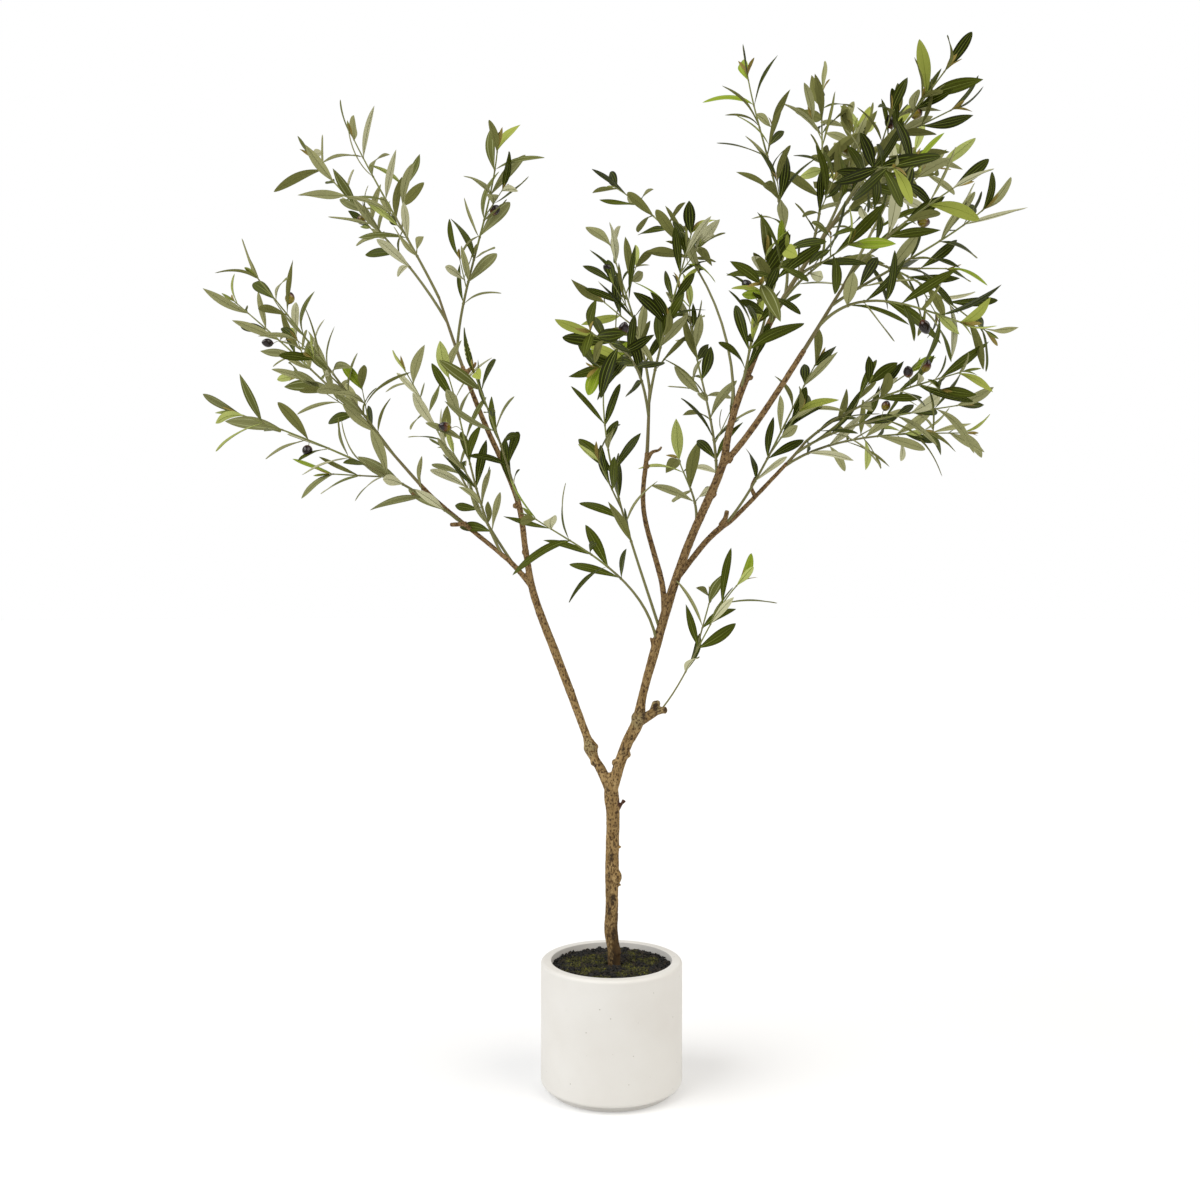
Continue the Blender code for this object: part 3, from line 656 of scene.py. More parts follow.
def add_tube(bundle, points, radii, sides, tone=0):
    """A closed tube, added to a bundle in one tone."""
    corners, faces = tube(points, radii, sides)
    bundle.add(corners, faces, [tone] * len(faces))


def limb_lines():
    """Each limb's own line of points with their radii, from inside its parent to its tip."""
    lines = {}
    for name, (parent, share, places) in LIMBS.items():
        way = [Vector(place) * MM for place in places]
        if parent:
            start = along(lines[parent], share)[0].copy()
            start[3] = way[0][3]
            way.insert(0, start)
        lines[name] = evenly(smooth(way, 12), LIMB_STEP)
    return lines


LINES = limb_lines()


def bark_blanks():
    """Plain tubes for every bark limb, with the lumps of its knots and stubs sunk into it."""
    rule = random.Random(21)
    bundle = Bundle()
    for name, line in LINES.items():
        if name == "pruned_stub":
            continue
        bark = evenly(line, BARK_STEP, BARK_ENDS.get(name, 1.0))
        if name == "trunk":
            bark.insert(0, bark[0] - Vector((0, 0, FORK_SINK, 0)))
        add_tube(bundle, bark, [point[3] for point in bark], BARK_SIDES)
        left = rule.uniform(*KNOT_GAPS)
        while left < length_of(bark) - KNOT_END:
            place, heading = along(bark, left / length_of(bark))
            side = heading.orthogonal().normalized()
            way = Matrix.Rotation(rule.uniform(0, SPIN), 3, heading) @ side
            size = rule.uniform(*KNOT_SIZES) * place[3]
            centre = place.xyz + (place[3] - KNOT_SINK * size) * way
            lump = [centre + rise * size * heading for rise, _ in KNOT_SHAPE]
            add_tube(bundle, lump, [share * size for _, share in KNOT_SHAPE], 10)
            left += rule.uniform(*KNOT_GAPS)
    for places in STUBS:
        line = smooth([Vector(place) * MM for place in places], 4)
        radii = [point[3] for point in line]
        cap = STUB_CAP * radii[-1] * (line[-1] - line[-2]).xyz.normalized()
        line.append(line[-1] + Vector((*cap, 0)))
        add_tube(bundle, line, [*radii, STUB_CAP_SIZE * radii[-1]], 12)
    return bundle.build("bark_blanks", [])


def fused(made):
    """One skin round all of an object's tubes, with the corners between them blended."""
    skin = made.modifiers.new("skin", "REMESH")
    skin.mode = "VOXEL"
    skin.voxel_size = BARK_VOXEL
    blending = made.modifiers.new("blend", "SMOOTH")
    blending.factor = 0.5
    blending.iterations = BARK_BLEND
    view = bpy.context.evaluated_depsgraph_get()
    mesh = bpy.data.meshes.new_from_object(made.evaluated_get(view))
    bpy.data.objects.remove(made, do_unlink=True)
    return mesh


def bark_relief(mesh):
    """Raise cracks, plates and pores on the limbs, note where each point lies on its own limb, and how much
    painted shade darkens its cracks and pores.
    """
    rings = []
    for number, line in enumerate(LINES.values()):
        far = 0.0
        for index, (point, (heading, side)) in enumerate(zip(line, frames(line))):
            far += (point.xyz - line[index - 1].xyz).length if index else 0
            rings.append((point, heading, side, far + number))
    tree = KDTree(len(rings))
    for index, ring in enumerate(rings):
        tree.insert(ring[0].xyz, index)
    tree.balance()
    places, shade_amounts, lifts = [], [], []
    for corner in mesh.vertices:
        point, heading, side, far = rings[tree.find(corner.co)[1]]
        out = corner.co - point.xyz
        place = Vector((out.dot(side), out.dot(heading.cross(side)), far + out.dot(heading)))
        thick = min(point[3] / FULL_RELIEF_RADIUS, 1)
        cracks = max(1 - CRACK_WIDTH * abs(noise.noise(place * CRACK_SCALE)), 0)
        plates = noise.noise(place * PLATE_SCALE)
        grit = noise.noise(place * GRIT_SCALE)
        pores = max(noise.noise(place * PORE_SCALE + PORE_SHIFT) - PORE_EDGE, 0)
        lift = thick * (PLATE_RISE * plates - CRACK_DEPTH * cracks - PORE_DEPTH * pores) + GRIT_RISE * grit
        lifts.append(corner.co + (BARK_SWELL + lift) * corner.normal)
        places += tuple(place)
        # Painted shade: the deeper a crack or pore is cut here, the darker the bark is painted.
        shade_amounts.append(CRACK_SHADE * cracks + PORE_SHADE * pores)
    mesh.vertices.foreach_set("co", np.array(lifts, np.float32).ravel())
    mesh.attributes.new("bark_place", "FLOAT_VECTOR", "POINT").data.foreach_set("vector", places)
    mesh.attributes.new("bark_shade_mask", "FLOAT", "POINT").data.foreach_set("value", shade_amounts)
    mesh.update()
    return mesh


def noted(made, name):
    """What the mesh notes under a name for each of its points."""
    note = made.node("ShaderNodeAttribute")
    note.attribute_name = name
    return note


def vector_step(made, operation, place, other):
    """One step of arithmetic between a place and a fixed vector."""
    step = made.node("ShaderNodeVectorMath")
    step.operation = operation
    made.link(place, step.inputs[0])
    step.inputs[1].default_value = other
    return step


def near(made, place, centre, inner, outer):
    """A mask that is 1 within inner of a point, in millimetres, and fades out towards outer."""
    away = vector_step(made, "DISTANCE", place, Vector(centre) * MM)
    return made.ramp(away.outputs["Value"], outer * MM, inner * MM)


def drawn_out(made, place, up):
    """A place whose height counts less, which draws patterns out along the limb."""
    return vector_step(made, "MULTIPLY", place, (1, 1, up)).outputs["Vector"]


def layer(made, name, pattern, under, within=None):
    """A layer of colour as far as its pattern goes, and only within a mask if it has one."""
    colour, share, fade = BARK_LAYERS[name]
    mask = made.ramp(pattern, *fade)
    if within is not None:
        mask = made.times(within, mask)
    return made.mixed(made.times(mask, share), under, colour)


def olive_bark():
    """Tan bark full of dark specks, browner aloft, stained at the foot, with lichen on three knots and
    painted shade in its cracks and pores.
    """
    made = Finish("olive_bark", (150, 124, 88), 0.85)
    made.shader.inputs["Specular IOR Level"].default_value = 0.15
    solid = made.place()
    place = noted(made, "bark_place").outputs["Vector"]
    height = made.node("ShaderNodeSeparateXYZ")
    made.link(solid, height.inputs["Vector"])
    fine = made.grain(drawn_out(made, place, FINE_DRAW), *FINE_SCALES)
    broad = made.grain(drawn_out(made, place, BROAD_DRAW), *BROAD_SCALES)
    foot = made.ramp(height.outputs["Z"], *FOOT_HEIGHTS)
    colour = made.mixed(fine.outputs["Drift"], BARK_TAN, BARK_LIGHT)
    colour = layer(made, "aloft", height.outputs["Z"], colour)
    colour = layer(made, "streak", broad.outputs["Height"], colour)
    for centre in LICHEN_KNOTS:
        knot = near(made, solid, centre, *LICHEN_REACH)
        colour = layer(made, "lichen", fine.outputs["Drift"], colour, knot)
    colour = layer(made, "foot_stain", broad.outputs["Drift"], colour, foot)
    thick_specks = made.sums("ADD", fine.outputs["Height"], made.times(foot, FOOT_SPECKS))
    colour = layer(made, "speck", thick_specks, colour)
    drawn = drawn_out(made, solid, 1 / STAIN_HEIGHT)
    for (right, back, up), reach in STAINS:
        edges = [reach * edge for edge in STAIN_EDGES]
        spot = near(made, drawn, (right, back, up / STAIN_HEIGHT), *edges)
        colour = layer(made, "blot", fine.outputs["Height"], colour, spot)
    # Painted shade in the bark's cracks and pores.
    colour = layer(made, "painted_crack_shade", noted(made, "bark_shade_mask").outputs["Fac"], colour)
    made.cover(made.mixed(near(made, solid, DARK_TWIGLET, *TWIGLET_REACH), colour, TWIGLET_BROWN))
    made.relief(fine.outputs["Height"], BARK_BUMP)
    return made.material


bark = added("bark_limbs", bark_relief(fused(bark_blanks())), olive_bark())
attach(bark, "root")
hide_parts(*LIMBS)


# The wired branches
# Every green branch is steel wire in a moulded plastic skin, brown-green at its foot and fresh green at its
# tip. It is pushed into the bark or sleeved onto a thicker one, with a small collar under each leaf pair.

# Each mass of foliage: the limb that carries it, how far along that limb its stem starts, the end of its
# stem as right, back and up in millimetres, how far the stem's middle bows right and up, the bare share of
# the stem before its first leaves, the number of side twigs, the gap between finer shoots as a share of the
# stem, where more than 1 leaves one shoot or none, and its olives, each as a share along the stem and a
# turn round it in degrees.
Mass = namedtuple("Mass", "limb share tip bow bare twigs shoot_gap olives")
MASSES = {name: Mass(*row) for name, row in {
    "left_high_outer": ("left_leader", 0.95, (-680, 300, 2000), (-10, 10), 0.28, 1, 0.42, ((0.62, 60),)),
    "left_high_middle": ("left_leader", 1, (-545, 90, 1965), (0, -10), 0.25, 1, 0.42, ()),
    "left_high_inner": ("left_leader", 0.89, (-220, -140, 1855), (15, 0), 0.24, 0, 0.3, ((0.66, 20),)),
    "left_outer_low": ("left_low_bough", 1, (-845, 260, 1660), (0, 10), 0.1, 1, 0.36, ((0.68, 190),)),
    "left_outer_high": ("left_low_bough", 0.93, (-705, -60, 1630), (0, 10), 0.12, 1, 0.34, ((0.8, 10),)),
    "left_lowest": ("left_low_bough", 0.42, (-685, -240, 1330), (0, 20), 0.12, 1, 2, ((0.72, 20),)),
    "left_inner_back": ("left_low_bough", 0.12, (-480, 380, 1525), (0, 10), 0.18, 0, 2, ()),
    "left_inner_front": ("left_low_bough", 0.2, (-335, 20, 1450), (0, 10), 0.15, 1, 2, ((0.7, 150),)),
    "left_leader_front": ("left_leader", 0.57, (-260, -180, 1415), (0, 10), 0.12, 0, 2, ()),
    "centre_left": ("right_leader", 0.275, (-15, -60, 1440), (-50, -10), 0.35, 1, 2, ()),
    "centre_low": ("right_leader", 0.255, (-145, -230, 1140), (0, 25), 0.4, 0, 2, ()),
    "centre_front": ("centre_bough", 0.88, (-40, -400, 1445), (0, 25), 0.2, 1, 0.6, ((0.6, 0),)),
    "centre_tall": ("centre_bough", 1, (0, 180, 1765), (0, 0), 0.18, 1, 0.22, ((0.75, 180),)),
    "centre_right": ("centre_bough", 0.94, (165, 20, 1745), (0, 0), 0.2, 1, 0.4, ((0.5, 90),)),
    "centre_arch": ("right_leader", 0.64, (10, 250, 1915), (20, 80), 0.48, 1, 0.22, ()),
    "leader_back": ("right_leader", 0.53, (170, 150, 1625), (-15, 0), 0.1, 0, 0.2, ()),
    "leader_low_back": ("right_leader", 0.45, (145, 120, 1290), (0, 0), 0.25, 0, 2, ()),
    "stub_spray": ("pruned_stub", 0.85, (245, -110, 1020), (-12, 14), 0.3, 1, 1.5, ()),
    "right_inner": ("low_right_bough", 0.37, (420, 20, 1475), (0, 0), 0.3, 1, 0.9, ()),
    "right_low_top": (
        "low_right_bough", 1, (675, -120, 1430), (0, 15), 0.1, 1, 0.5, ((0.7, 60), (0.76, 10))),
    "right_low_middle": ("low_right_bough", 0.92, (735, 90, 1400), (0, 15), 0.1, 0, 2, ((0.55, 0),)),
    "right_low_back": ("low_right_bough", 0.82, (820, 330, 1375), (0, 20), 0.15, 1, 2, ()),
    "right_arch": ("right_leader", 0.87, (740, -60, 1525), (0, 60), 0.22, 0, 0.9, ()),
    "right_arch_high": ("right_bough", 0.86, (685, -230, 1710), (0, -20), 0.2, 1, 2, ()),
    "right_tip": ("right_bough", 1, (600, -330, 1715), (0, 10), 0.2, 1, 2, ((0.6, 0),)),
    "right_back": ("right_bough", 0.95, (640, 80, 1935), (0, 10), 0.3, 1, 0.9, ((0.7, 200),)),
    "right_front": ("right_bough", 0.76, (580, -430, 1455), (0, 30), 0.2, 0, 2, ((0.7, 90),)),
    "top": ("right_leader", 1, (600, -280, 1945), (0, 0), 0.05, 3, 0.24, ((0.5, 90), (0.62, 30))),
    "top_front": ("right_leader", 0.985, (460, -470, 1700), (0, 25), 0.3, 0, 2, ((0.75, 90),)),
    "top_right": ("right_leader", 0.96, (700, 120, 1910), (0, 10), 0.18, 0, 0.24, ()),
    "top_column": ("right_leader", 0.9, (460, 160, 2090), (0, 0), 0.15, 1, 0.24, ()),
    "top_thin": ("right_leader", 0.84, (265, -100, 2010), (0, 0), 0.3, 0, 0.24, ()),
    "top_back": ("right_leader", 0.93, (580, 330, 2075), (0, 0), 0.25, 1, 0.24, ((0.6, 180), (0.5, 0))),
    "leader_front_low": ("right_leader", 0.73, (305, -330, 1605), (0, 20), 0.3, 1, 0.42, ()),
    "leader_front_high": ("right_leader", 0.81, (425, -280, 1630), (0, 10), 0.3, 0, 2, ()),
    "leader_side": ("right_leader", 0.67, (290, -180, 1640), (0, 0), 0.15, 0, 0.42, ((0.7, 90),))}.items()}
STEM_FOOT_RADIUS = 0.0031
THIN_FOOT_RADIUS = 0.0017
STEM_TIP_RADIUS = 0.0013
STEM_BEND = 0.3
STEM_STEPS = 16
TWIG_STEP = 0.009
TWIG_SIDES = 8
TWIG_FOOT_RADIUS = 0.0019
TWIG_REACH = 0.12
TWIG_REACH_SPREAD = (0.8, 1.1)
TWIG_ANGLE = math.radians(34)
TWIG_ANGLE_SPREAD = (0.9, 1.2)
TWIG_RETURN = 0.2
TWIG_BARE = 0.45
TWIG_LAST_SHARE = 0.62
GOLDEN_TURN = math.radians(137.5)
SHOOT_FOOT_RADIUS = 0.0014
SHOOT_TIP_RADIUS = 0.0009
SHOOT_REACHES = (0.05, 0.085)
SHOOT_BARE = 0.4
SHOOT_ANGLE_SPREAD = (0.9, 1.3)
SHOOT_FIRST_GAP = (0.2, 0.45)
SHOOT_GAP_SPREAD = (0.8, 1.3)
SHOOT_LAST_SHARE = 0.8
COLLAR_SPREAD = 1.35
COLLAR_REACH = 0.0024
GREEN_FOOT_SHARE = 0.5
SLEEVE_OVERLAP = 0.02
SLEEVE_STEPS = 30
SLEEVE_SIZE = 0.82

Twig = namedtuple("Twig", "points radii bare young")


def stem_line(foot, leaving, tip, bow):
    """A stem that leaves along its limb, bows, and ends at its tip."""
    reach = tip - foot
    first = foot + STEM_BEND * reach.length * (leaving + reach.normalized()).normalized() + bow
    second = tip - STEM_BEND * reach + bow
    line = []
    for step in range(STEM_STEPS + 1):
        t = step / STEM_STEPS
        s = 1 - t
        line.append(s ** 3 * foot + 3 * s ** 2 * t * first + 3 * s * t ** 2 * second + t ** 3 * tip)
    return line


def twig_along(line, foot_radius, tip_radius, bare, young=False):
    points = evenly(line, TWIG_STEP)
    last = len(points) - 1
    radii = [foot_radius + (tip_radius - foot_radius) * index / last for index in range(last + 1)]
    return Twig(points, radii, bare, young)


def turned_from(heading, side, turn, angle):
    """A direction that leaves a heading by an angle, on the side that a turn about it gives."""
    across = heading.cross(side)
    out = math.cos(turn) * side + math.sin(turn) * across
    return (math.cos(angle) * heading + math.sin(angle) * out).normalized()


def side_of(points, share):
    """The steady side direction at a share of a line."""
    sides = frames(points)
    return sides[min(int(share * len(sides)), len(sides) - 1)][1]


def offshoot(stem, share, turn, angle, reach):
    """The line of a twig that leaves a stem and bends back towards the stem's heading."""
    place, heading = along(stem.points, share)
    leaving = turned_from(heading, side_of(stem.points, share), turn, angle)
    tip = place + reach * leaving.lerp(heading, TWIG_RETURN).normalized()
    return stem_line(place, leaving, tip, Vector((0, 0, 0)))


def side_twigs(stem, count, rule):
    """Side twigs that leave the stem in turn round it."""
    twigs = []
    turn = rule.uniform(0, 2 * math.pi)
    for number in range(count):
        share = stem.bare + (TWIG_LAST_SHARE - stem.bare) * (number + 0.5) / count
        angle = TWIG_ANGLE * rule.uniform(*TWIG_ANGLE_SPREAD)
        line = offshoot(stem, share, turn, angle, TWIG_REACH * rule.uniform(*TWIG_REACH_SPREAD))
        twigs.append(twig_along(line, TWIG_FOOT_RADIUS, STEM_TIP_RADIUS, TWIG_BARE))
        turn += GOLDEN_TURN
    return twigs


def shoots_on(stem, gap, rule):
    """The finer twigs that the source leaves out: short shoots between the pairs of leaves."""
    shoots = []
    share = stem.bare + rule.uniform(*SHOOT_FIRST_GAP) * gap
    turn = rule.uniform(0, 2 * math.pi)
    while share < SHOOT_LAST_SHARE:
        angle = TWIG_ANGLE * rule.uniform(*SHOOT_ANGLE_SPREAD)
        line = offshoot(stem, share, turn, angle, rule.uniform(*SHOOT_REACHES))
        shoots.append(twig_along(line, SHOOT_FOOT_RADIUS, SHOOT_TIP_RADIUS, SHOOT_BARE, True))
        share += rule.uniform(*SHOOT_GAP_SPREAD) * gap
        turn += GOLDEN_TURN
    return shoots


def stem_of(mass):
    foot, heading = along(LINES[mass.limb], mass.share)
    bow = Vector((mass.bow[0], 0, mass.bow[1])) * MM
    line = stem_line(foot.xyz, heading, Vector(mass.tip) * MM, bow)
    foot_radius = THIN_FOOT_RADIUS if mass.limb == "pruned_stub" else STEM_FOOT_RADIUS
    return twig_along(line, foot_radius, STEM_TIP_RADIUS, mass.bare)


# The pairs are closer together than in the source, and the leaves are about an eighth longer and a fifth
# wider. A third of them are longer than the 100 mm that real sprays' leaves reach.
PAIR_GAP = 0.05
PAIR_SHIFT = 0.14
PAIR_LAST_SHARE = 0.985
PAIR_STAGGER = 0.0015
LEAF_LENGTH = 0.101
LEAF_LENGTH_SPREAD = (0.82, 1.17)
LEAF_WIDTH = 0.0250
LEAF_WIDTH_SPREAD = (0.72, 1.14)
LEAF_ANGLE = math.radians(33)
LEAF_ANGLE_SPREAD = (0.7, 1.4)
LEAF_TURN_SPREAD = (math.radians(-18), math.radians(18))
YOUNG_LENGTH = 0.78
YOUNG_ANGLE = 0.7
SHOOT_LEAF = 0.9

Leaf = namedtuple("Leaf", "root heading face length width age")


def leaves_on(twig, rule):
    """Opposite leaves, each pair a quarter turn on from the last, from the bare foot to the tip."""
    leaves, nodes = [], []
    pairs = max(1, round((1 - twig.bare) * length_of(twig.points) / PAIR_GAP))
    turn = rule.uniform(0, math.pi)
    for pair in range(pairs + 1):
        step = pair + rule.uniform(-PAIR_SHIFT, PAIR_SHIFT)
        share = min(twig.bare + (1 - twig.bare) * step / pairs, PAIR_LAST_SHARE)
        place, heading = along(twig.points, share)
        side = side_of(twig.points, share)
        nodes.append(share)
        for half in (0, 1):
            about = turn + half * math.pi + rule.uniform(*LEAF_TURN_SPREAD)
            angle = LEAF_ANGLE * rule.uniform(*LEAF_ANGLE_SPREAD)
            leaf_length = LEAF_LENGTH * rule.uniform(*LEAF_LENGTH_SPREAD)
            leaf_width = LEAF_WIDTH * rule.uniform(*LEAF_WIDTH_SPREAD)
            if pair == pairs:
                angle *= YOUNG_ANGLE
                leaf_length *= YOUNG_LENGTH
            if twig.young:
                leaf_length *= SHOOT_LEAF
                leaf_width *= SHOOT_LEAF
            leaf_heading = turned_from(heading, side, about, angle)
            face = heading - heading.dot(leaf_heading) * leaf_heading
            root = place + (1 - 2 * half) * PAIR_STAGGER * heading
            leaves.append(Leaf(root, leaf_heading, face.normalized(), leaf_length, leaf_width, pairs - pair))
        turn += math.pi / 2
    return leaves, nodes


def sprays():
    """Every mass's twigs with their leaves, by the rule of the solids first, and then the finer shoots."""
    grown = {}
    for seed, (name, mass) in enumerate(MASSES.items(), start=1):
        rule = random.Random(seed)
        stem = stem_of(mass)
        twigs = [stem, *side_twigs(stem, mass.twigs, rule)]
        leaved = [(twig, *leaves_on(twig, rule)) for twig in twigs]
        finer = random.Random(seed + 500)
        leaved += [(twig, *leaves_on(twig, finer)) for twig in shoots_on(stem, mass.shoot_gap, finer)]
        grown[name] = leaved
    return grown


SPRAYS = sprays()


def wired_branches():
    """All green branches, twigs and collars in one bundle, in three tones from the foot out."""
    bundle = Bundle()
    for name, last in BARK_ENDS.items():
        start = last - SLEEVE_OVERLAP
        shares = [start + (1 - start) * step / SLEEVE_STEPS for step in range(SLEEVE_STEPS + 1)]
        points = [along(LINES[name], share)[0] for share in shares]
        add_tube(bundle, points, [SLEEVE_SIZE * point[3] for point in points], 12)
    for leaved in SPRAYS.values():
        for twig, _, nodes in leaved:
            corners, faces = tube(twig.points, twig.radii, TWIG_SIDES)
            tones = [2 if twig.young or face[0] > GREEN_FOOT_SHARE * len(corners) else 1 for face in faces]
            bundle.add(corners, faces, tones)
            for share in nodes:
                place, heading = along(twig.points, share)
                radius = twig.radii[min(int(share * len(twig.radii)), len(twig.radii) - 1)]
                collar = [place - COLLAR_REACH * heading, place, place + COLLAR_REACH * heading]
                add_tube(bundle, collar, [radius, COLLAR_SPREAD * radius, radius], TWIG_SIDES, 1)
    return bundle


branches = wired_branches().build("wired_branches", plains(
    ("brown_green_branch", (108, 98, 58), 0.7), ("olive_green_twig", (112, 110, 62), 0.65),
    ("fresh_green_twig", (122, 126, 64), 0.6)))
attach(branches, "root")


# The leaves
# Printed fabric blades with a moulded midrib, dark and slightly glossy above, pale and matt below, and
# bright yellow-green where they are young. Each pair is slipped over its branch and set in its own bend.

BLADE_PLACES = np.array((
    0, 0.04, 0.10, 0.17, 0.25, 0.33, 0.41, 0.49, 0.57, 0.65, 0.73, 0.80, 0.87, 0.93, 0.975, 1))
SECTION_CORNERS = 11
BLADE_POINTED = (1.15, 0.95)
BLADE_BLUNT = (1.12, 0.58)
BLADE_THICK = 0.0009
BLADE_FILL = 0.47
BLADE_CAMBER = 0.45
LEAST_HALF_WIDTH = 0.0002
FOOT_HALF_WIDTH = 0.0010
RIB_HALF_WIDTH = 0.0006
RIB_TAPER = 1.1
RIB_WIDTH_LIMIT = 0.4
RIB_DEPTH = 0.0007
RIB_GROOVE = 0.3
FULL_THICK_HALF = 0.003
FULL_RIB_HALF = 0.004
STREAKS = (0.44, 0.58)
LEAF_CURL = 0.20
CURL_SPREAD = 0.20
CURL_LIMITS = (-0.15, 0.62)
DROOPS = (-0.02, 0.14)
SWAY_SPREAD = 0.07
ROLL_SPREAD = math.radians(46)
CROWN_MIDDLE = (0.1, 0.25)
OUTWARD = 0.9
FOLDS = (0.05, 0.35)
TWIST_SPREAD = math.radians(28)
WAVE_SPREAD = 0.18
WAVE_COUNT = 0.9


def half_widths(foot, point):
    """A blade's half-widths at its places, as shares of its widest, by how its foot and its tip taper."""
    widest = foot / (foot + point)
    return BLADE_PLACES ** foot * (1 - BLADE_PLACES) ** point / (widest ** foot * (1 - widest) ** point)


POINTED_HALVES = half_widths(*BLADE_POINTED)
BLUNT_HALVES = half_widths(*BLADE_BLUNT)


def blade_faces():
    """The faces of a blade: eleven round each of its sections, four of them below, and its two ends."""
    faces = []
    last = SECTION_CORNERS * (len(BLADE_PLACES) - 1)
    for low in range(0, last, SECTION_CORNERS):
        high = low + SECTION_CORNERS
        for step in range(SECTION_CORNERS):
            after = (step + 1) % SECTION_CORNERS
            faces.append((low + step, high + step, high + after, low + after))
    return faces + [tuple(range(SECTION_CORNERS)), tuple(range(last + SECTION_CORNERS - 1, last - 1, -1))]


BLADE_FACES = blade_faces()


def blade_tones(upper, streak, rib, under, under_rib):
    """The tone of each face of a blade, with its side veins as one lighter streak along each half."""
    around = [upper, streak, upper, rib, upper, streak, upper, under, under_rib, under_rib, under]
    return around * (len(BLADE_PLACES) - 1) + [under, upper]


def blade(leaf, rule):
    """The corners of one leaf, turned out to the light, with its own outline, roll, bends and wave."""
    curl = min(max(rule.gauss(LEAF_CURL, CURL_SPREAD), CURL_LIMITS[0]), CURL_LIMITS[1])
    fold = rule.uniform(*FOLDS)
    twist = rule.gauss(0, TWIST_SPREAD)
    wave = rule.uniform(0, WAVE_SPREAD)
    phase = rule.uniform(0, 2 * math.pi)
    sway = rule.gauss(0, SWAY_SPREAD)
    roll = rule.gauss(0, ROLL_SPREAD)
    blunt = rule.random() ** 2
    droop = np.array((0, 0, -rule.uniform(*DROOPS)))
    heading = np.array(leaf.heading)
    out = Vector((leaf.root.x - CROWN_MIDDLE[0], leaf.root.y - CROWN_MIDDLE[1], 0)).normalized()
    lit = leaf.face + OUTWARD * (out - out.dot(leaf.heading) * leaf.heading)
    flat_face = np.array(lit.normalized())
    face = math.cos(roll) * flat_face + math.sin(roll) * np.cross(flat_face, heading)
    across = np.cross(face, heading)
    t = BLADE_PLACES[:, None]
    bend = sway * across - curl * face + droop
    middle = np.array(leaf.root) + leaf.length * (t * heading + t ** 2 * bend)
    half = BLADE_FILL * leaf.width * ((1 - blunt) * POINTED_HALVES + blunt * BLUNT_HALVES)[:, None]
    half = np.maximum(half, FOOT_HALF_WIDTH * (1 - t) ** 3 + LEAST_HALF_WIDTH)
    rib = np.minimum(RIB_HALF_WIDTH * (RIB_TAPER - t), RIB_WIDTH_LIMIT * half)
    inner, outer = STREAKS[0] * half, STREAKS[1] * half
    outs = np.hstack([-half, -outer, -inner, -rib, rib, inner, outer, half, rib, 0 * rib, -rib])
    ups = fold * (np.abs(outs) - BLADE_CAMBER * outs ** 2 / half)
    ups += wave * outs * np.sin(2 * math.pi * WAVE_COUNT * t + phase)
    thin = BLADE_THICK * np.minimum(half / FULL_THICK_HALF, 1)
    ups[:, 3:5] -= RIB_GROOVE * thin
    ups[:, 8:11] -= thin
    ups[:, 9:10] -= RIB_DEPTH * np.minimum(half / FULL_RIB_HALF, 1)
    turn = twist * t
    up_way = np.cos(turn) * face + np.sin(turn) * across
    out_way = np.cos(turn) * across - np.sin(turn) * face
    corners = middle[:, None, :] + outs[:, :, None] * out_way[:, None, :]
    corners += ups[:, :, None] * up_way[:, None, :]
    return [tuple(corner) for corner in corners.reshape(-1, 3).tolist()]


LEAF_SHEEN_LEVEL = 0.07
LEAF_FINISHES = (
    ("darkest_upper", (34, 38, 4), 0.4), ("deep_green_upper", (46, 51, 6), 0.4),
    ("mid_green_upper", (64, 70, 12), 0.42), ("soft_green_upper", (92, 96, 44), 0.6),
    ("greyed_upper", (118, 119, 76), 0.65), ("young_upper", (128, 148, 36), 0.5),
    ("warm_young_upper", (150, 158, 70), 0.55), ("pale_underside", (188, 187, 150), 0.85),
    ("grey_green_underside", (152, 152, 106), 0.85), ("dim_underside", (112, 113, 62), 0.85),
    ("young_underside", (172, 180, 104), 0.8), ("vein_on_dark", (80, 90, 24), 0.6),
    ("vein_on_grey", (142, 146, 102), 0.7), ("light_midrib", (120, 130, 60), 0.7),
    ("dark_midrib", (102, 104, 58), 0.8), ("young_midrib", (104, 114, 34), 0.7))
(DARKEST, DEEP, MID, SOFT, GREYED, YOUNG, WARM, PALE, GREY, DIM, YOUNG_UNDER, DARK_VEIN, GREY_VEIN,
 LIGHT_RIB, DARK_RIB, YOUNG_RIB) = range(len(LEAF_FINISHES))
# The parts of the crown, each a joined piece: the first word of its masses' names, and how its leaves are
# dealt their upper and lower tones.
CROWN = {
    "left_leaves": ("left", (DEEP, DEEP, MID, MID, SOFT, SOFT, GREYED, GREYED), (PALE, GREY, GREY, DIM)),
    "centre_leaves": ("centre", (DARKEST, DEEP, DEEP, DEEP, MID, MID), (PALE, GREY, DIM, DIM)),
    "leader_leaves": ("leader stub", (DEEP, DEEP, MID, MID, SOFT), (PALE, GREY, DIM)),
    "right_leaves": ("right", (DARKEST, DEEP, DEEP, MID, MID), (PALE, GREY, GREY, DIM)),
    "top_leaves": ("top", (DARKEST, DARKEST, DEEP, DEEP, MID), (GREY, DIM, DIM))}
YOUNG_SHARES = (0.42, 0.07)
SHOOT_YOUNG_SHARE = 0.07


def leaf_tones(leaf, twig, uppers, unders, rule):
    """The tones of one leaf: bright for some of the youngest, or else dealt by part of the crown."""
    upper, under = rule.choice(uppers), rule.choice(unders)
    share = YOUNG_SHARES[leaf.age] if leaf.age < len(YOUNG_SHARES) else 0
    if rule.random() < (min(share, SHOOT_YOUNG_SHARE) if twig.young else share):
        return blade_tones(rule.choice((YOUNG, WARM)), WARM, YOUNG_RIB, YOUNG_UNDER, YOUNG_RIB)
    if upper in (SOFT, GREYED):
        return blade_tones(upper, GREY_VEIN, DARK_RIB, under, DARK_RIB)
    return blade_tones(upper, DARK_VEIN, LIGHT_RIB, under, DARK_RIB)


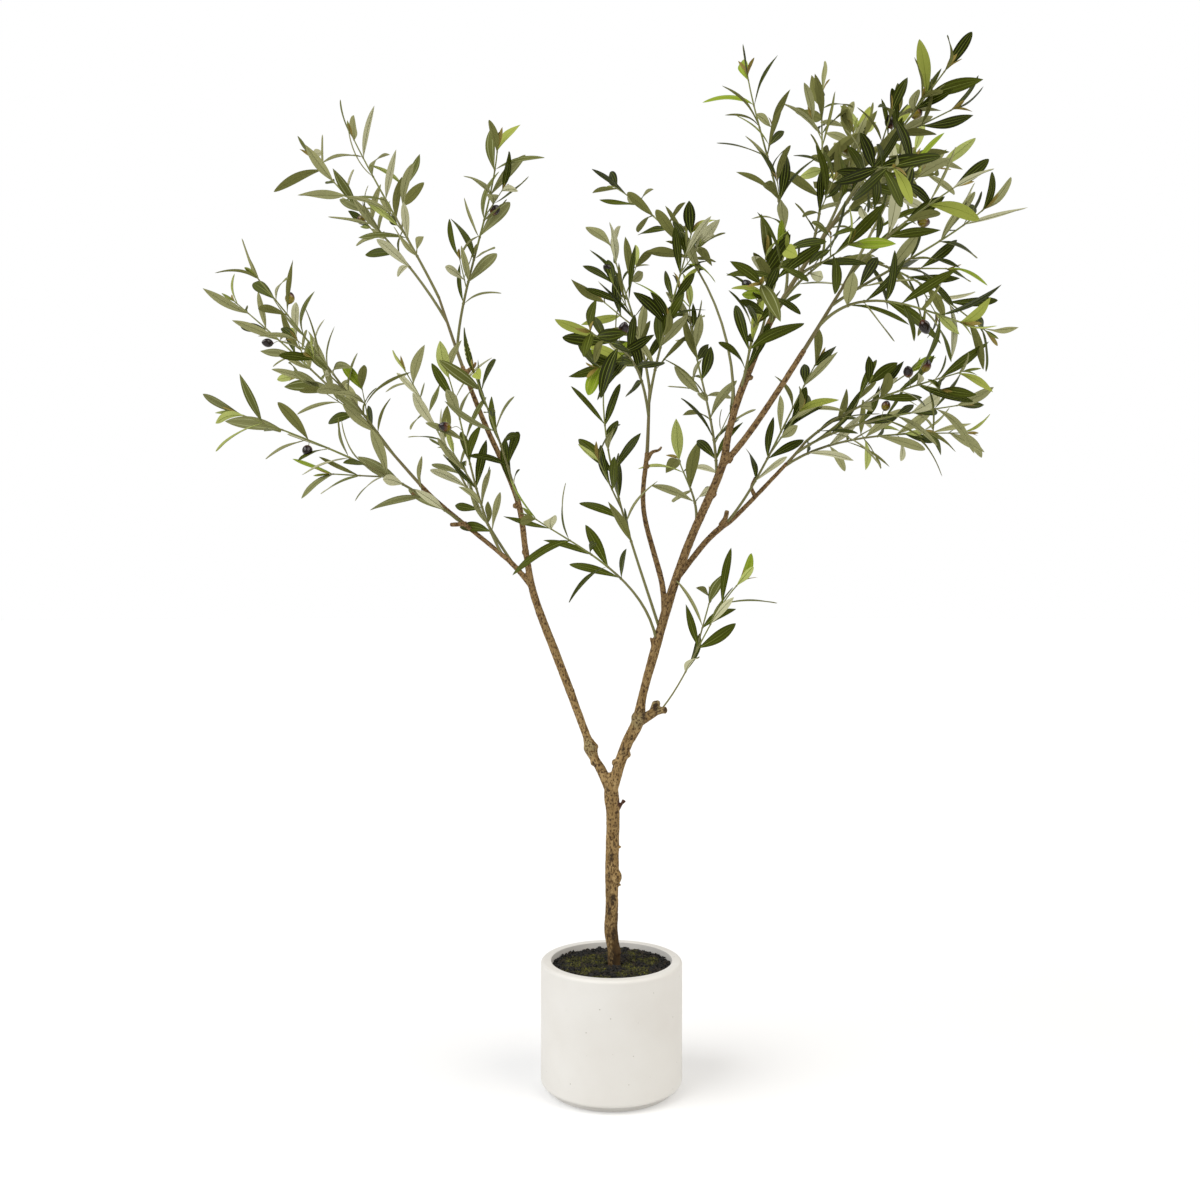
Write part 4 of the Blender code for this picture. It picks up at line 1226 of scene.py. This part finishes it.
leaf_materials = []
for row in LEAF_FINISHES:
    printed = Finish(*row)
    printed.shader.inputs["Specular IOR Level"].default_value = LEAF_SHEEN_LEVEL
    leaf_materials.append(printed.material)
for piece_name, (words, uppers, unders) in CROWN.items():
    rule = random.Random(piece_name)
    bundle = Bundle()
    members = [name for name in MASSES if name.split("_")[0] in words.split()]
    for name in members:
        for twig, leaves, _ in SPRAYS[name]:
            for leaf in leaves:
                bundle.add(blade(leaf, rule), BLADE_FACES, leaf_tones(leaf, twig, uppers, unders, rule))
    piece = bundle.build(piece_name, leaf_materials)
    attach(piece, "root")
    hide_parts(*members)


# The buds
# A pair of narrow closed leaflets at the tip of each twig, moulded in one with the twig's end and tinted
# yellow-brown.

BUD_LENGTHS = (0.030, 0.041)
BUD_WIDTH = 0.0084
BUD_ANGLE = math.radians(9)
BUD_ANGLE_SPREAD = (0.6, 1.5)
BUD_SHOOT = 0.7


def bud_pairs():
    rule = random.Random(31)
    bundle = Bundle()
    for leaved in SPRAYS.values():
        for twig, _, _ in leaved:
            tip, (heading, side) = twig.points[-1], frames(twig.points)[-1]
            turn = rule.uniform(0, math.pi)
            size = BUD_SHOOT if twig.young else 1
            for half in (0, 1):
                angle = BUD_ANGLE * rule.uniform(*BUD_ANGLE_SPREAD)
                way = turned_from(heading, side, turn + half * math.pi, angle)
                face = (heading - heading.dot(way) * way).normalized()
                bud = Leaf(tip, way, face, size * rule.uniform(*BUD_LENGTHS), size * BUD_WIDTH, 0)
                bundle.add(blade(bud, rule), BLADE_FACES, [rule.choice((0, 0, 1))] * len(BLADE_FACES))
    return bundle


buds = bud_pairs().build("tip_buds", plains(
    ("yellow_brown_bud", (138, 120, 44), 0.6), ("green_bud", (124, 132, 48), 0.6)))
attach(buds, "root")


# The olives
# Hollow plastic fruits under a clear gloss, amber where the thin wire stalk goes in and nearly black at the
# other end. Each stalk is twisted on under a pair of leaves.

OLIVE_LENGTH = 0.027
OLIVE_WIDTH = 0.0195
OLIVE_ANGLE = math.radians(65)
OLIVE_RINGS = 14
OLIVE_SIDES = 20
STALK_LENGTH = 0.024
STALK_RADIUS = 0.0007
STALK_DROOP = 0.006
CAP_SHAPE = ((-0.0010, 0.00104), (0.0006, 0.0026), (0.0016, 0.00156))
OLIVE_TAPER = 0.92
OLIVE_FULLNESS = 0.62
OLIVE_LEAST_HALF = 0.0003
RIPE_FROM = (-0.3, 0.45)
BLOTCH_SCALE = 110
BLOTCH_SHARE = 0.3
BROWN_FADE = (0.1, 0.42)
BLACK_FADE = (0.32, 0.6)


def olive_shapes():
    """The fruits with how ripe each corner is, and the stalks with their small caps."""
    fruits, stalks, ripeness = Bundle(), Bundle(), []
    rule = random.Random(41)
    for name, mass in MASSES.items():
        stem = SPRAYS[name][0][0]
        for share, turn in mass.olives:
            place, heading = along(stem.points, share)
            out = turned_from(heading, side_of(stem.points, share), math.radians(turn), OLIVE_ANGLE)
            start = place + STALK_LENGTH * out
            bend = [place, place + 0.5 * STALK_LENGTH * out + Vector((0, 0, STALK_DROOP)), start]
            add_tube(stalks, smooth(bend, 5), [STALK_RADIUS] * 11, 6)
            cap = [start + rise * out for rise, _ in CAP_SHAPE]
            add_tube(stalks, cap, [size for _, size in CAP_SHAPE], 10, 1)
            shares = [0.5 - 0.5 * math.cos(math.pi * ring / OLIVE_RINGS) for ring in range(OLIVE_RINGS + 1)]
            swells = [math.sin(math.pi * share ** OLIVE_TAPER) ** OLIVE_FULLNESS for share in shares]
            halves = [max(0.5 * OLIVE_WIDTH * swell, OLIVE_LEAST_HALF) for swell in swells]
            add_tube(fruits, [start + share * OLIVE_LENGTH * out for share in shares], halves, OLIVE_SIDES)
            ripe_from = rule.uniform(*RIPE_FROM)
            ripeness += [share - ripe_from for share in shares for _ in range(OLIVE_SIDES)]
    return fruits, stalks, ripeness


def olive_skin():
    """Glossy skin that turns from amber through red-brown to black along the fruit."""
    made = Finish("ripening_olive", (40, 24, 28), 0.22)
    made.shader.inputs["Specular IOR Level"].default_value = 0.2
    made.shader.inputs["Coat Weight"].default_value = 0.5
    made.shader.inputs["Coat Roughness"].default_value = 0.06
    blotches = made.node("ShaderNodeTexNoise")
    blotches.inputs["Scale"].default_value = BLOTCH_SCALE
    made.link(made.place(), blotches.inputs["Vector"])
    ripe = noted(made, "ripeness").outputs["Fac"]
    share = made.sums("ADD", ripe, made.times(blotches.outputs["Fac"], BLOTCH_SHARE))
    brown = made.mixed(made.ramp(share, *BROWN_FADE), (126, 112, 26), (84, 40, 16))
    made.cover(made.mixed(made.ramp(share, *BLACK_FADE), brown, (24, 10, 8)))
    return made.material


fruit_shapes, stalk_shapes, fruit_ripeness = olive_shapes()
olives = fruit_shapes.build("olives", [olive_skin()])
olives.data.attributes.new("ripeness", "FLOAT", "POINT").data.foreach_set("value", fruit_ripeness)
stalks = stalk_shapes.build("olive_stalks", plains(
    ("stalk_green", (118, 120, 70), 0.6), ("stalk_cap_brown", (84, 62, 38), 0.7)))
for piece in (olives, stalks):
    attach(piece, "root")


# The floor, the light and the camera
# A plain white studio: a pale floor that runs out of sight, a broad soft light from high on the left and a
# weaker, warmer one from the right. The camera is level, waist high and about two and a half metres away.

FLOOR_RADIUS = 60
FLOOR_THICK = 0.02
FLOOR_DROP = 0.0002
FLOOR_GLOW = 0.22
CAMERA_PLACE = (-0.0234, -2.442, 0.989)
WORLD_STRENGTH = 0.46


def soft_sun(name, towards, strength, spread, colour=(1, 1, 1)):
    """A light that is even over the whole floor, with shadows as soft as a broad lamp's."""
    light = bpy.data.lights.new(name, "SUN")
    light.energy = strength
    light.angle = math.radians(spread)
    light.color = colour
    made = bpy.data.objects.new(name, light)
    made.rotation_euler = Vector(towards).to_track_quat("-Z", "Y").to_euler()
    bpy.context.scene.collection.objects.link(made)


floor_mesh = turned([
    (0, -FLOOR_THICK), (FLOOR_RADIUS, -FLOOR_THICK), (FLOOR_RADIUS, -FLOOR_DROP), (0, -FLOOR_DROP)], 64)
floor_finish = Finish("pale_floor", (214, 214, 214), 0.9)
floor_finish.shader.inputs["Emission Color"].default_value = (1, 1, 1, 1)
floor_finish.shader.inputs["Emission Strength"].default_value = FLOOR_GLOW
floor = added("studio_floor", floor_mesh, floor_finish.material)

soft_sun("left_light", (1.57, 0.84, -1.77), 2.25, 50)
soft_sun("right_light", (-1.13, 0.6, -1.3), 1.52, 50, (1.0, 0.95, 0.88))

air = bpy.data.worlds.new("studio_air")
bpy.context.scene.world = air
air.use_nodes = True
sky_node, sky_link = air.node_tree.nodes.new, air.node_tree.links.new
sky = air.node_tree.nodes["Background"]
sky.inputs["Color"].default_value = (1, 1, 1, 1)
sky.inputs["Strength"].default_value = WORLD_STRENGTH
backdrop = sky_node("ShaderNodeBackground")
backdrop.inputs["Color"].default_value = (1, 1, 1, 1)
seen = sky_node("ShaderNodeMixShader")
sky_link(sky_node("ShaderNodeLightPath").outputs["Is Camera Ray"], seen.inputs["Fac"])
sky_link(sky.outputs["Background"], seen.inputs[1])
sky_link(backdrop.outputs["Background"], seen.inputs[2])
sky_link(seen.outputs["Shader"], air.node_tree.nodes["World Output"].inputs["Surface"])
bpy.context.scene.view_settings.view_transform = "Standard"

camera = bpy.data.objects.new("camera", bpy.data.cameras.new("camera"))
camera.location = CAMERA_PLACE
camera.rotation_euler = (math.radians(90), 0, 0)
camera.data.lens = 36
camera.data.sensor_width = 36
bpy.context.scene.collection.objects.link(camera)
bpy.context.scene.camera = camera
